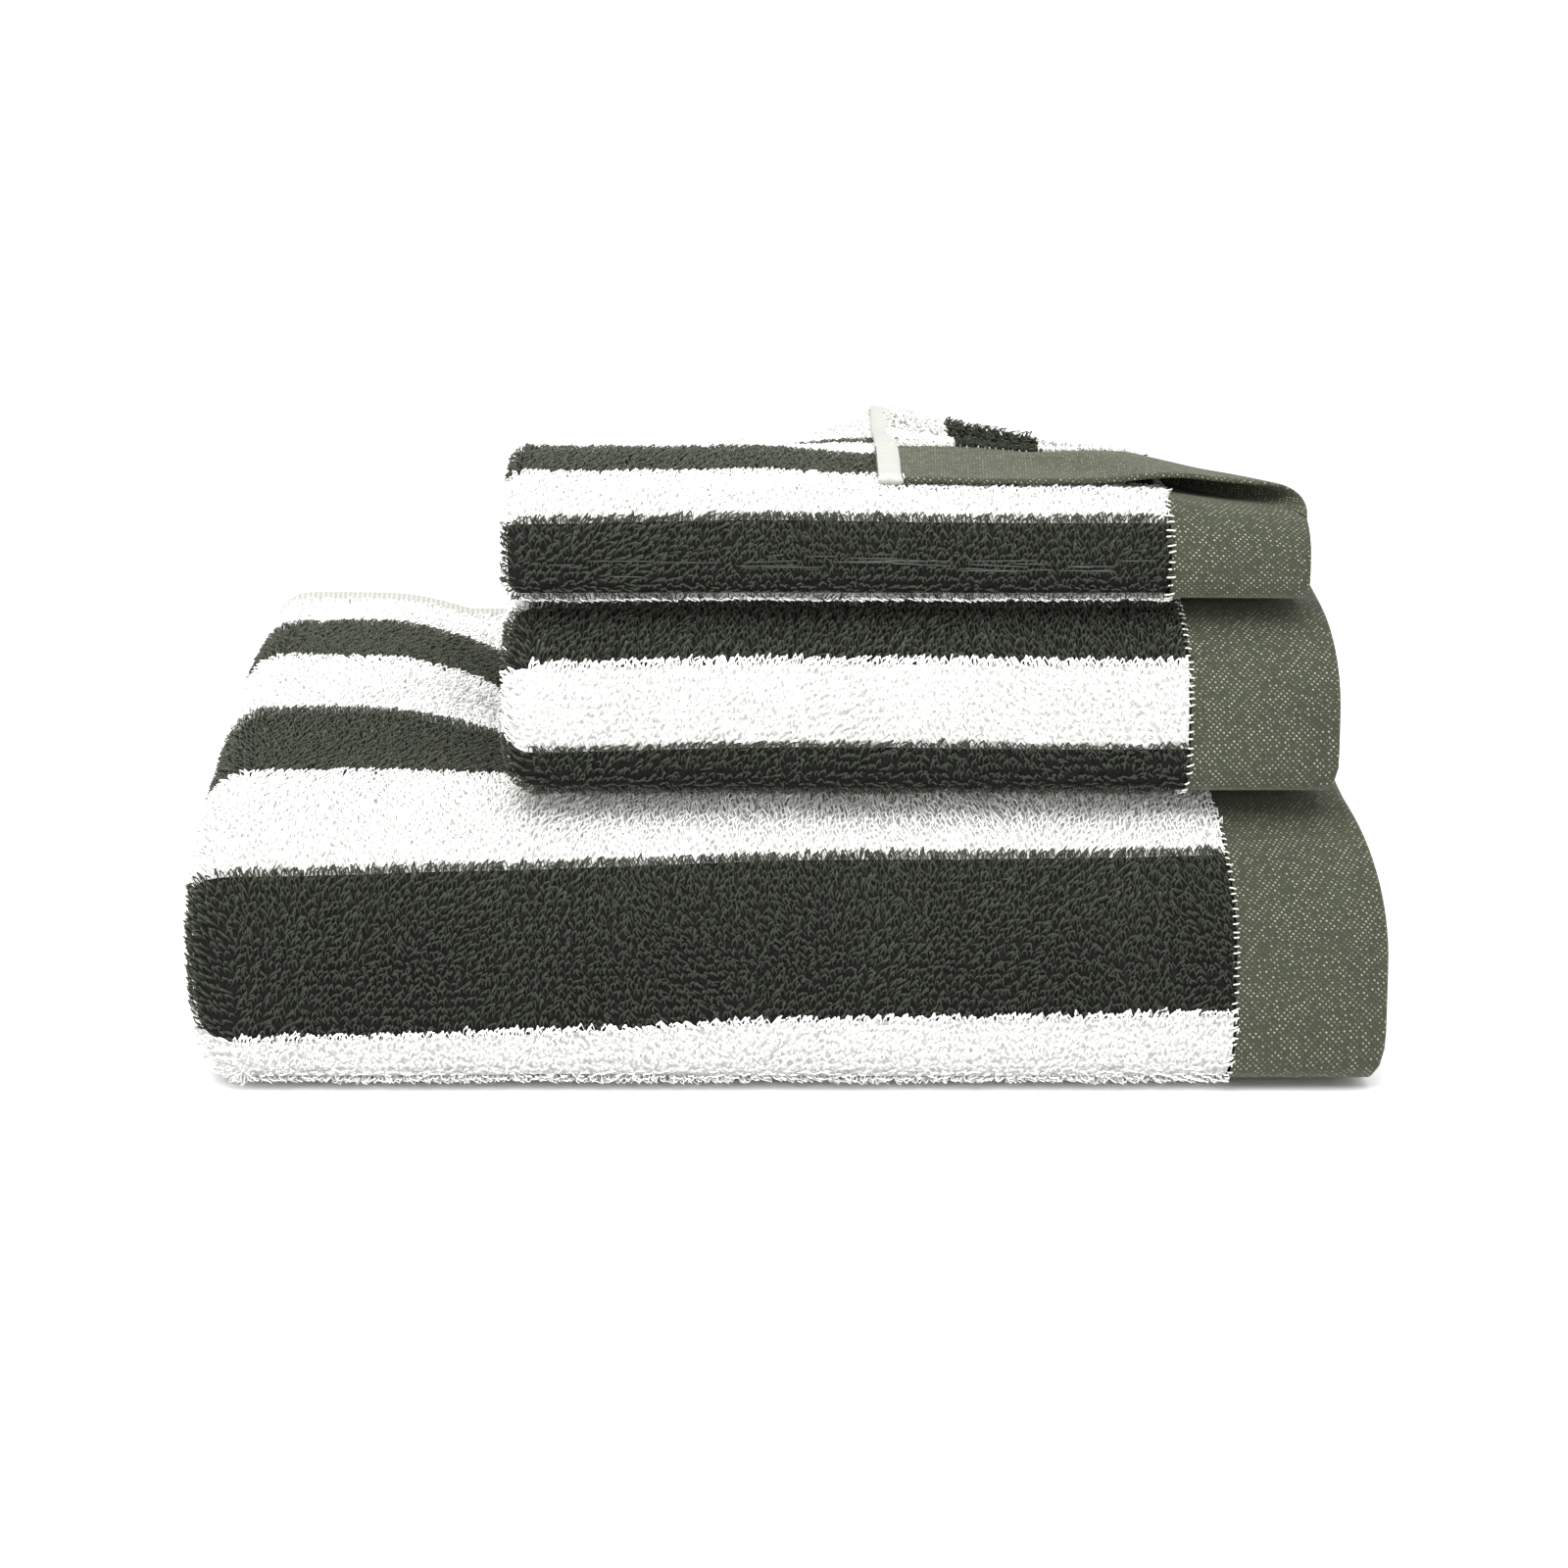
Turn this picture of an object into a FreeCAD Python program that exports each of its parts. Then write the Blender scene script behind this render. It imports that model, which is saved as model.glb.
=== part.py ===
import FreeCAD, Part
import math
import os
import Sketcher

# A stack of three folded terry towels: bath, hand and guest towel.
# Each towel is folded across its length, then in thirds like a letter.
# Frame: X runs along the stripes, the rounded front fold faces -Y, +Z is up,
# and the origin is the middle of the bath towel's underside.

os.makedirs("parts", exist_ok=True)
doc = FreeCAD.newDocument("folded_towels")
sheet = doc.addObject("Spreadsheet::Sheet", "dims")

# ---------------------------------------------------------------- dimensions
# left, right      ends of the folded towel along X
# front, depth     front of the round fold along Y, and how far back it reaches
# pack             thickness of one third of the letter fold
# plies            cloth layers in one third
# seam             X where terry stops and the flat border starts
# inset, band      how far the border lies below the pile, and its thickness
# hem              width of the turned long edge
TOWELS = {
    "bath": dict(left=-175.0, right=175.0, front=-124.0, depth=248.0, pack=28.7, plies=4,
                 seam=131.0, inset=2.5, band=3.0, hem=7.0),
    "hand": dict(left=-83.0, right=162.0, front=-114.0, depth=176.0, pack=19.2, plies=4,
                 seam=118.0, inset=2.0, band=2.4, hem=6.0),
    "guest": dict(left=-83.0, right=153.0, front=-111.5, depth=140.0, pack=11.4, plies=2,
                  seam=112.0, inset=1.6, band=2.0, hem=5.0),
}
SHARED = {
    "rest_gap": 0.3,      # between one towel and the next
    "layer_gap": 0.4,     # between the thirds of one towel
    "seam_width": 2.5,    # stitched joint between terry and border
    "seam_proud": 0.5,    # height of the stitching above the border
    "inner_short": 4.0,   # how far the inner plies stop short of the end
    "tuck": 2.0,          # how far the middle third stops behind the front fold's centre
    "corner_leg": 122.0,  # side of the turned-back corner
    "corner_thick": 5.2,  # one ply of terry with its pile
    "corner_gap": 0.4,    # clearance of the turned corner along its crease
}

values = {}
for towel, sizes in TOWELS.items():
    for key, number in sizes.items():
        values[towel + "_" + key] = float(number)
values.update(SHARED)
for row, (alias, number) in enumerate(values.items(), start=1):
    sheet.set("A%d" % row, alias)
    sheet.set("B%d" % row, repr(number))
    sheet.setAlias("B%d" % row, alias)
doc.recompute()


def worth(expression):
    """The number an expression of sheet names stands for, used to start a sketch."""
    total = 0.0
    for term in expression.replace("- ", "+ -").split("+ "):
        product = 1.0
        for factor in term.strip().split(" * "):
            factor = factor.strip()
            if factor.startswith("-"):
                product = -product
                factor = factor[1:].strip()
            product *= values[factor] if factor in values else float(factor)
        total += product
    return total


def bound(expression):
    """The same expression with every sheet name written as the sheet's cell."""
    words = [("dims." + w if w in values else w) for w in expression.split(" ")]
    return " ".join(words)


# ------------------------------------------------------------------ builders
def base_of(towel):
    """Height at which a towel starts, from the towels below it."""
    return {
        "bath": "0",
        "hand": "3 * bath_pack + rest_gap",
        "guest": "3 * bath_pack + 3 * hand_pack + 2 * rest_gap",
    }[towel]


def new_body(label, x, y, z):
    """A named body whose placement follows the sheet."""
    body = doc.addObject("PartDesign::Body", label)
    body.Label = label
    place = FreeCAD.Vector(worth(x), worth(y), worth(z))
    body.Placement = FreeCAD.Placement(place, FreeCAD.Rotation())
    for letter, expression in zip("xyz", (x, y, z)):
        body.setExpression(".Placement.Base." + letter, bound(expression))
    return body


def origin_plane(body, role):
    return next(f for f in body.Origin.OriginFeatures if f.Role == role)


def new_sketch(body, role, lift="0"):
    """A sketch on one of the body's own planes, lifted along its normal."""
    sketch = body.newObject("Sketcher::SketchObject", body.Label + "_sketch")
    sketch.AttachmentSupport = [(origin_plane(body, role), "")]
    sketch.MapMode = "FlatFace"
    if lift != "0":
        offset = FreeCAD.Vector(0, 0, worth(lift))
        sketch.AttachmentOffset = FreeCAD.Placement(offset, FreeCAD.Rotation())
        sketch.setExpression(".AttachmentOffset.Base.z", bound(lift))
    return sketch


def set_size(sketch, constraint, expression):
    index = sketch.addConstraint(constraint)
    sketch.setExpression("Constraints[%d]" % index, bound(expression))


def polygon(sketch, corners):
    """A closed outline through corners given as pairs of expressions."""
    points = [FreeCAD.Vector(worth(x), worth(y), 0) for x, y in corners]
    count = len(points)
    for i in range(count):
        sketch.addGeometry(Part.LineSegment(points[i], points[(i + 1) % count]), False)
    for i in range(count):
        sketch.addConstraint(Sketcher.Constraint("Coincident", i, 2, (i + 1) % count, 1))
    for i, (x, y) in enumerate(corners):
        if worth(x) == 0:
            sketch.addConstraint(Sketcher.Constraint("PointOnObject", i, 1, -2))
        else:
            set_size(sketch, Sketcher.Constraint("DistanceX", -1, 1, i, 1, worth(x)), x)
        if worth(y) == 0:
            sketch.addConstraint(Sketcher.Constraint("PointOnObject", i, 1, -1))
        else:
            set_size(sketch, Sketcher.Constraint("DistanceY", -1, 1, i, 1, worth(y)), y)


def letter_fold(sketch, towel, inner, outer, back, middle_end):
    """The outline of one layer of the letter fold, seen from the end.

    The layer runs from the back over the top third, round the big front fold,
    along the bottom third, round the small back fold and into the middle third.
    inner and outer are its distances from the middle of the pack, and back and
    middle_end are where it stops.
    """
    pack = worth(towel + "_pack")
    low, high = worth(inner), worth(outer)
    stop, end = worth(back), worth(middle_end)
    front = 1.5 * pack
    rear = worth(towel + "_depth") - pack
    big = FreeCAD.Vector(front, 1.5 * pack, 0)
    small = FreeCAD.Vector(rear, pack, 0)
    up = FreeCAD.Vector(0, 0, 1)
    quarter = math.pi / 2

    def line(y0, z0, y1, z1):
        ends = (FreeCAD.Vector(y0, z0, 0), FreeCAD.Vector(y1, z1, 0))
        return sketch.addGeometry(Part.LineSegment(*ends), False)

    def arc(centre, radius, start, finish):
        circle = Part.Circle(centre, up, radius)
        return sketch.addGeometry(Part.ArcOfCircle(circle, start, finish), False)

    top_out = line(stop, 2.5 * pack + high, front, 2.5 * pack + high)
    big_out = arc(big, pack + high, quarter, 3 * quarter)
    bottom_out = line(front, 0.5 * pack - high, rear, 0.5 * pack - high)
    small_out = arc(small, 0.5 * pack + high, -quarter, quarter)
    middle_out = line(rear, 1.5 * pack + high, end, 1.5 * pack + high)
    middle_cap = line(end, 1.5 * pack + high, end, 1.5 * pack + low)
    middle_in = line(end, 1.5 * pack + low, rear, 1.5 * pack + low)
    small_in = arc(small, 0.5 * pack + low, -quarter, quarter)
    bottom_in = line(rear, 0.5 * pack - low, front, 0.5 * pack - low)
    big_in = arc(big, pack + low, quarter, 3 * quarter)
    top_in = line(front, 2.5 * pack + low, stop, 2.5 * pack + low)
    top_cap = line(stop, 2.5 * pack + low, stop, 2.5 * pack + high)

    joints = [
        (top_out, 2, big_out, 1), (big_out, 2, bottom_out, 1),
        (bottom_out, 2, small_out, 1), (small_out, 2, middle_out, 1),
        (middle_out, 2, middle_cap, 1), (middle_cap, 2, middle_in, 1),
        (middle_in, 2, small_in, 2), (small_in, 1, bottom_in, 1),
        (bottom_in, 2, big_in, 2), (big_in, 1, top_in, 1),
        (top_in, 2, top_cap, 1), (top_cap, 2, top_out, 1),
    ]
    for joint in joints:
        sketch.addConstraint(Sketcher.Constraint("Coincident", *joint))
    for flat in (top_out, bottom_out, middle_out, middle_in, bottom_in, top_in):
        sketch.addConstraint(Sketcher.Constraint("Horizontal", flat))
    for cap in (middle_cap, top_cap):
        sketch.addConstraint(Sketcher.Constraint("Vertical", cap))
    for curve in (big_out, big_in, small_out, small_in):
        sketch.addConstraint(Sketcher.Constraint("Vertical", curve, 3, curve, 1))
        sketch.addConstraint(Sketcher.Constraint("Vertical", curve, 3, curve, 2))
    sketch.addConstraint(Sketcher.Constraint("Coincident", big_in, 3, big_out, 3))
    sketch.addConstraint(Sketcher.Constraint("Coincident", small_in, 3, small_out, 3))

    name = towel + "_pack"
    depth = towel + "_depth"
    places = [
        ("DistanceX", big_out, 3, "1.5 * " + name),
        ("DistanceY", big_out, 3, "1.5 * " + name),
        ("DistanceX", small_out, 3, depth + " - " + name),
        ("DistanceY", small_out, 3, name),
        ("DistanceX", top_out, 1, back),
        ("DistanceX", middle_cap, 1, middle_end),
    ]
    for kind, item, end_point, expression in places:
        constraint = Sketcher.Constraint(kind, -1, 1, item, end_point, worth(expression))
        set_size(sketch, constraint, expression)
    for curve, offset in ((big_out, outer), (big_in, inner)):
        expression = name + " + " + offset
        set_size(sketch, Sketcher.Constraint("Radius", curve, worth(expression)), expression)


def pad(body, sketch, length):
    feature = body.newObject("PartDesign::Pad", body.Label + "_pad")
    feature.Profile = sketch
    feature.Length = worth(length)
    feature.setExpression("Length", bound(length))
    sketch.Visibility = False
    doc.recompute()
    return feature


# ---------------------------------------------------- pieces of every towel
def tucked_end(towel):
    """Where the hidden middle third stops, inside the big front fold."""
    return "1.5 * %s_pack + tuck" % towel


def terry_cloth(towel):
    """All terry plies of one towel, up to the border seams."""
    name = towel + "_terry_cloth"
    body = new_body(name, towel + "_left", towel + "_front", base_of(towel))
    inner = "-0.5 * %s_pack + layer_gap" % towel
    back = "%s_depth - %s_hem" % (towel, towel)
    middle = tucked_end(towel)
    outline = new_sketch(body, "YZ_Plane")
    letter_fold(outline, towel, inner, "0.5 * %s_pack" % towel, back, middle)
    pad(body, outline, "%s_seam - %s_left" % (towel, towel))
    if worth(towel + "_plies") > 2:
        # the two inner plies are joined by a terry fold at the right-hand end
        outline = new_sketch(body, "YZ_Plane")
        letter_fold(outline, towel, inner, "-0.01 * %s_pack" % towel, back, middle)
        pad(body, outline, "%s_right - %s_left - inner_short" % (towel, towel))
    return body


def ply_share(towel, ply):
    """Distance of a ply's outer face from the middle of the pack."""
    step = 0.25 if worth(towel + "_plies") > 2 else 0.5
    return "%s * %s_pack" % (0.5 - step * ply, towel)


def border(towel, ply, label):
    """A flat woven border at the end of one ply: 0 is the outermost ply."""
    start = "%s_seam + seam_width" % towel
    body = new_body(towel + "_" + label, start, towel + "_front", base_of(towel))
    outer = "%s - %s_inset" % (ply_share(towel, ply), towel)
    inner = "%s - %s_band" % (outer, towel)
    outline = new_sketch(body, "YZ_Plane")
    letter_fold(outline, towel, inner, outer, towel + "_depth", tucked_end(towel))
    length = "%s_right - %s_seam - seam_width" % (towel, towel)
    if ply:
        length += " - 0.5 * inner_short"
    pad(body, outline, length)
    return body


def border_seam(towel, ply, label):
    """The stitched joint between terry and border."""
    name = towel + "_" + label
    body = new_body(name, towel + "_seam", towel + "_front", base_of(towel))
    face = "%s - %s_inset" % (ply_share(towel, ply), towel)
    inner = "%s - %s_band" % (face, towel)
    outline = new_sketch(body, "YZ_Plane")
    outer = face + " + seam_proud"
    letter_fold(outline, towel, inner, outer, towel + "_depth", tucked_end(towel))
    pad(body, outline, "seam_width")
    return body


def outer_side_hem(towel):
    """The turned and stitched long edges of all plies, at the back of the top third."""
    name = towel + "_outer_side_hem"
    body = new_body(name, towel + "_left", towel + "_front", base_of(towel))
    outline = new_sketch(body, "YZ_Plane")
    start = "%s_depth - %s_hem" % (towel, towel)
    stop = "1 * %s_depth" % towel
    low = "2 * %s_pack + layer_gap" % towel
    high = "3 * %s_pack - 0.2 * %s_inset" % (towel, towel)
    polygon(outline, [(start, low), (stop, low), (stop, high), (start, high)])
    feature = pad(body, outline, "%s_seam - %s_left" % (towel, towel))
    names = []
    for index, edge in enumerate(feature.Shape.Edges, start=1):
        box = edge.BoundBox
        along = box.YLength < 0.01 and box.ZLength < 0.01
        if along and abs(box.YMin - worth(stop)) < 0.01:
            names.append("Edge%d" % index)
    soft = body.newObject("PartDesign::Fillet", name + "_round")
    soft.Base = (feature, names)
    soft.Radius = 0.4 * worth(towel + "_hem")
    soft.setExpression("Radius", bound("0.4 * %s_hem" % towel))
    doc.recompute()
    return body


def inner_side_hem(towel):
    """The other long edges, a round nose tucked into the big front fold."""
    name = towel + "_inner_side_hem"
    body = new_body(name, towel + "_left", towel + "_front", base_of(towel))
    outline = new_sketch(body, "YZ_Plane")
    pack = towel + "_pack"
    radius = "0.5 * %s - 0.5 * layer_gap" % pack
    middle_y = "1.5 * " + pack
    middle_z = "1.5 * %s + 0.5 * layer_gap" % pack
    end = tucked_end(towel)
    y0, y1 = worth(middle_y), worth(end)
    z0, r = worth(middle_z), worth(radius)
    circle = Part.Circle(FreeCAD.Vector(y0, z0, 0), FreeCAD.Vector(0, 0, 1), r)
    nose = outline.addGeometry(Part.ArcOfCircle(circle, math.pi / 2, 1.5 * math.pi), False)
    corners = [(y0, z0 - r), (y1, z0 - r), (y1, z0 + r), (y0, z0 + r)]
    points = [FreeCAD.Vector(y, z, 0) for y, z in corners]
    under = outline.addGeometry(Part.LineSegment(points[0], points[1]), False)
    back = outline.addGeometry(Part.LineSegment(points[1], points[2]), False)
    over = outline.addGeometry(Part.LineSegment(points[2], points[3]), False)
    for joint in ((nose, 2, under, 1), (under, 2, back, 1), (back, 2, over, 1), (over, 2, nose, 1)):
        outline.addConstraint(Sketcher.Constraint("Coincident", *joint))
    outline.addConstraint(Sketcher.Constraint("Horizontal", under))
    outline.addConstraint(Sketcher.Constraint("Horizontal", over))
    outline.addConstraint(Sketcher.Constraint("Vertical", back))
    outline.addConstraint(Sketcher.Constraint("Vertical", nose, 3, nose, 1))
    outline.addConstraint(Sketcher.Constraint("Vertical", nose, 3, nose, 2))
    sizes = (
        (Sketcher.Constraint("DistanceX", -1, 1, nose, 3, y0), middle_y),
        (Sketcher.Constraint("DistanceY", -1, 1, nose, 3, z0), middle_z),
        (Sketcher.Constraint("DistanceX", -1, 1, back, 1, y1), end),
        (Sketcher.Constraint("Radius", nose, r), radius),
    )
    for constraint, expression in sizes:
        set_size(outline, constraint, expression)
    pad(body, outline, "%s_seam - %s_left" % (towel, towel))
    return body


# ------------------------------------------------------ turned-back corner
def cut_corner(body, start):
    """Takes the turned corner's cloth away from the guest towel's top ply.

    start is the X of the body's own origin. The cut is a triangle behind the
    crease, reaching past both edges, and one ply deep.
    """
    before = body.Shape.Volume
    top = "3 * guest_pack + 1"
    outline = new_sketch(body, "XY_Plane", top)
    left = "guest_right - corner_leg - %s" % start
    near = "guest_depth - corner_leg"
    past = "20"
    polygon(outline, [
        (left + " - " + past, "guest_depth + " + past),
        ("guest_right - %s + %s" % (start, past), near + " - " + past),
        ("guest_right - %s + %s" % (start, past), "guest_depth + " + past),
    ])
    cut = body.newObject("PartDesign::Pocket", body.Label + "_corner")
    cut.Profile = outline
    depth = "0.5 * guest_pack + 1"
    cut.Length = worth(depth)
    cut.setExpression("Length", bound(depth))
    outline.Visibility = False
    doc.recompute()
    if not cut.Shape.Volume < before:
        cut.Reversed = True
        doc.recompute()
    assert cut.Shape.Volume < before, body.Label + " is not cut"


def corner_piece(label, corners, thick):
    """One flat piece of the turned corner, lying on the towel's top."""
    x = "guest_right - corner_leg"
    y = "guest_front + guest_depth - corner_leg"
    z = "3 * bath_pack + 3 * hand_pack + 2 * rest_gap + 3 * guest_pack + rest_gap"
    body = new_body(label, x, y, z)
    outline = new_sketch(body, "XY_Plane")
    polygon(outline, corners)
    pad(body, outline, thick)
    return body


def turned_corner():
    """Border, seam, hem and terry of the corner, inside its crease."""
    crease = "corner_leg - corner_gap"
    band = "guest_right - guest_seam - seam_width"
    band_less = "- guest_right + guest_seam + seam_width"
    joint = "guest_right - guest_seam"
    joint_less = "- guest_right + guest_seam"
    hem = "guest_hem"
    pieces = []
    pieces.append(corner_piece("corner_border", [
        ("0", "0"), (crease, "0"),
        (crease + " " + band_less, band), ("0", band),
    ], "guest_band"))
    pieces.append(corner_piece("corner_border_seam", [
        ("0", band), (crease + " " + band_less, band),
        (crease + " " + joint_less, joint), ("0", joint),
    ], "guest_band + seam_proud"))
    pieces.append(corner_piece("corner_side_hem", [
        ("0", joint), (hem, joint), (hem, crease + " - " + hem), ("0", crease),
    ], "0.8 * corner_thick"))
    pieces.append(corner_piece("corner_terry", [
        (hem, joint), (crease + " " + joint_less, joint), (hem, crease + " - " + hem),
    ], "corner_thick"))
    return pieces


# ------------------------------------------------------------------ assembly
bodies = []
for towel in TOWELS:
    cloth = terry_cloth(towel)
    outer_border = border(towel, 0, "outer_border")
    inner_border = border(towel, 1, "inner_border")
    outer_seam = border_seam(towel, 0, "outer_border_seam")
    inner_seam = border_seam(towel, 1, "inner_border_seam")
    outer_hem = outer_side_hem(towel)
    inner_hem = inner_side_hem(towel)
    if towel == "guest":
        cut_corner(cloth, "guest_left")
        cut_corner(outer_hem, "guest_left")
        cut_corner(outer_border, "guest_seam - seam_width")
        cut_corner(outer_seam, "guest_seam")
    bodies += [cloth, outer_border, inner_border, outer_seam, inner_seam]
    bodies += [outer_hem, inner_hem]
bodies += turned_corner()
doc.recompute()

# -------------------------------------------------------------------- export
for item in doc.Objects:
    state = item.State
    assert "Invalid" not in state and "Error" not in state, item.Label + " failed"
for body in bodies:
    shape = body.Shape
    assert not shape.isNull() and shape.isValid(), body.Label + " is not a valid solid"
    assert len(shape.Solids) == 1, body.Label + " is not one solid"
    shape.exportStep("parts/" + body.Label + ".step")
    box = shape.BoundBox
    print("%-26s %7.1f %7.1f %7.1f  to %7.1f %7.1f %7.1f" % (
        body.Label, box.XMin, box.YMin, box.ZMin, box.XMax, box.YMax, box.ZMax))
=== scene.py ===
# %% [markdown]
# A stack of three folded terry towels: a bath towel, a hand towel and a guest
# towel whose corner is turned back. The fixed frame gives the place and size of
# every piece; this file makes the cloth, the pile, the borders and the light.

# %% Load the fixed frame
import math

import bpy
import numpy as np
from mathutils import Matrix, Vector


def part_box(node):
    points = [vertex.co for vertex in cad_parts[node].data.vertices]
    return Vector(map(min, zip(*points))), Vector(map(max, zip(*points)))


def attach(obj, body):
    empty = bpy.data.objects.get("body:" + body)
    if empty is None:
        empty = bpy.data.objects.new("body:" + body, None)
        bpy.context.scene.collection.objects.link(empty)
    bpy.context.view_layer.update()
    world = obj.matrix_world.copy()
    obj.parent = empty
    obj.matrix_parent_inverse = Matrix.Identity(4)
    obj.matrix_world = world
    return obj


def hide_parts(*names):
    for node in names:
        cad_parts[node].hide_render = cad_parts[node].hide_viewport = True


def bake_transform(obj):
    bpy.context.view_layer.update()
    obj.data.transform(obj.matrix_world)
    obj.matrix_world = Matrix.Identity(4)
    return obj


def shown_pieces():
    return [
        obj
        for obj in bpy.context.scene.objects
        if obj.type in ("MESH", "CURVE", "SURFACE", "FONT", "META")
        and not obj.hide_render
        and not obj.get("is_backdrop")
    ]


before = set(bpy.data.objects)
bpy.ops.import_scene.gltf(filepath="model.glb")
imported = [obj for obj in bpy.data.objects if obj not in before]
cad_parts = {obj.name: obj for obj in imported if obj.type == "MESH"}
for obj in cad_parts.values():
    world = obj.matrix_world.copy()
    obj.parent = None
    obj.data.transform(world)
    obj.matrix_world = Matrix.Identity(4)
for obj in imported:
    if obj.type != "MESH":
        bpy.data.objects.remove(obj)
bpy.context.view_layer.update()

# %% [markdown]
# Terry towelling is measured before it is made. A towel folded for a shelf is a
# pack of plies folded in thirds like a letter, so six lengths describe it: the
# two ends along the stripes, where the border starts, the front, the depth and
# the thickness of one third. They are all read from the frame, so that the cloth
# lies exactly where the solids say it does.

# %% Sizes of each folded towel
MM = 0.001
ROOT2 = math.sqrt(2)


class Towel:
    """One folded towel: its ends, its seam and the thickness of one third."""

    def __init__(self, name, plies, pile, stripe, first):
        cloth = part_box(name + "_terry_cloth")
        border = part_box(name + "_outer_border")
        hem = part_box(name + "_outer_side_hem")
        self.name, self.plies, self.pile = name, plies, pile
        self.body = name + "_towel"
        self.left = cloth[0].x
        self.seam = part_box(name + "_outer_border_seam")[0].x
        self.right = border[1].x
        self.front = cloth[0].y
        self.depth = hem[1].y - cloth[0].y
        self.base = cloth[0].z
        self.pack = (cloth[1].z - cloth[0].z) / 3
        self.inset = cloth[1].z - border[1].z if name != "guest" else 1.6 * MM
        self.wrap = self.pack / 2 - pile          # outer ply, from the pack's middle
        self.core = self.pack / 8 if plies > 2 else 0.0   # inner plies
        self.turn = self.left + self.pack / 2     # where the left fold is centred
        p, d = self.pack, self.depth
        self.runs = [d - 1.5 * p, math.pi * p, d - 2.5 * p, math.pi * p / 2, d - 2.36 * p]
        self.ends = list(np.cumsum(self.runs))
        self.length = self.ends[-1]
        self.stripe, self.first = stripe, first


bath = Towel("bath", 4, 2.9 * MM, 50.0 * MM, 243.0 * MM)
hand = Towel("hand", 4, 2.7 * MM, 25.8 * MM, 204.5 * MM)
guest = Towel("guest", 2, 2.6 * MM, 28.0 * MM, 140.0 * MM)

TOWELS = (bath, hand, guest)
crease_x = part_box("corner_border")[0].x       # where the crease meets the back hem
for towel in TOWELS:
    print(towel.name, "path", round(towel.length, 3), "m, one third", round(towel.pack, 4), "m")

# %% [markdown]
# The letter fold is one line carried round: back along the top, down round the
# big front fold, along the bottom, up round a small fold at the back and into
# the middle. Bending the grid with modifiers could do this, but a formula keeps
# every ply, loop and stitch on the same path.

# %% The path of the letter fold
def fold_path(towel, t):
    """Middle line of the pack at distance t from the outer hem.

    y shrinks along the top, swings out by sin(a) round the front fold, grows
    along the bottom, swings by sin(b) round the back fold and shrinks again.
    The normal turns by a + b, so it always points out of the fold.
    """
    p = towel.pack
    e = towel.ends
    top = np.minimum(t, e[0])
    a = np.clip(t - e[0], 0, towel.runs[1]) / p
    under = np.clip(t - e[1], 0, towel.runs[2])
    b = np.clip(t - e[2], 0, towel.runs[3]) / (p / 2)
    middle = np.maximum(t - e[3], 0)
    y = towel.depth - top - p * np.sin(a) + under + p / 2 * np.sin(b) - middle
    z = 2.5 * p - p * (1 - np.cos(a)) + p / 2 * (1 - np.cos(b))
    turn = a + b
    return y, z, -np.sin(turn), np.cos(turn)


def outer_length(towel, t):
    """Distance along the outermost face: the path plus half a pack per turn."""
    p, e = towel.pack, towel.ends
    a = np.clip(t - e[0], 0, towel.runs[1]) / p
    b = np.clip(t - e[2], 0, towel.runs[3]) / (p / 2)
    return t + (a + b) * p / 2


# where the guest towel's first stripes meet, along its outer face
HEM_STRIPES = np.array([0.0, 24.0, 49.0, 78.5, 109.0, 140.0]) * MM


def stripe_of(towel, t):
    """Stripe number at t: even numbers are dark, odd ones white.

    It is (length - first edge) / width; the guest towel's stripes are narrower
    towards its hem, so up to its first edge the listed ones are interpolated.
    """
    length = outer_length(towel, t)
    even = (length - towel.first) / towel.stripe
    if towel.name == "guest":
        near = np.interp(length, HEM_STRIPES, np.arange(-5.0, 1.0))
        even = np.where(length < HEM_STRIPES[-1], near, even)
    return even


def number_of(towel, t):
    """Whole stripe number at t."""
    return np.floor(stripe_of(towel, t)).astype(int)


print("bath towel stripes from", round(float(stripe_of(bath, 0.0)), 2),
      "to", round(float(stripe_of(bath, bath.length)), 2))

# %% [markdown]
# A pack of soft cloth never stays a stadium shape. Its weight squares off the
# lower half of each fold, the free part of the top swells where nothing presses
# on it, and the open ends are drawn in at the shoulders. These are smooth moves
# of space, so plies, loops and stitches all take them together.

# %% How the towels settle
def ease(x):
    """Smooth step: 0 below 0, 1 above 1, with 3x2 - 2x3 between."""
    x = np.clip(x, 0, 1)
    return x * x * (3 - 2 * x)


def ripple(x, y, seed, wave):
    """Smooth noise in -1..1: four sine waves crossing at seeded angles."""
    rng = np.random.default_rng(seed)
    total = np.zeros(np.broadcast(x, y).shape)
    for k in range(4):
        angle, phase = rng.uniform(0, 2 * math.pi, 2)
        size = wave * (0.7 + 0.35 * k)
        total += np.sin(2 * math.pi * (x * math.cos(angle) + y * math.sin(angle)) / size + phase)
    return total / 4


def length_along(x, y):
    """Distance from the first point to each point of a line."""
    return np.append(0, np.cumsum(np.hypot(np.diff(x), np.diff(y))))


def spread_table(power):
    """Angle of equal steps along a rounded square's edge, for a quarter turn."""
    angle = np.linspace(0, math.pi / 2, 181)
    r = 1 / (np.cos(angle) ** power + np.sin(angle) ** power) ** (1 / power)
    run = length_along(r * np.cos(angle), r * np.sin(angle))
    even = np.interp(angle / angle[-1] * run[-1], run, angle)
    return angle, 0.5 * (even + angle)


def fill_corner(dy, dz, power):
    """Moves a quarter circle's points out to a rounded square.

    The angle is shifted so that the cloth isn't stretched at the corner, then
    the distance is multiplied by (cos^n + sin^n)^(-1/n).
    """
    angle, even = spread_table(power)
    turn = np.interp(np.arctan2(dz, dy), angle, even)
    c, s = np.cos(turn), np.sin(turn)
    r = np.hypot(dy, dz) / (c ** power + s ** power) ** (1 / power)
    return r * c, r * s


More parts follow.
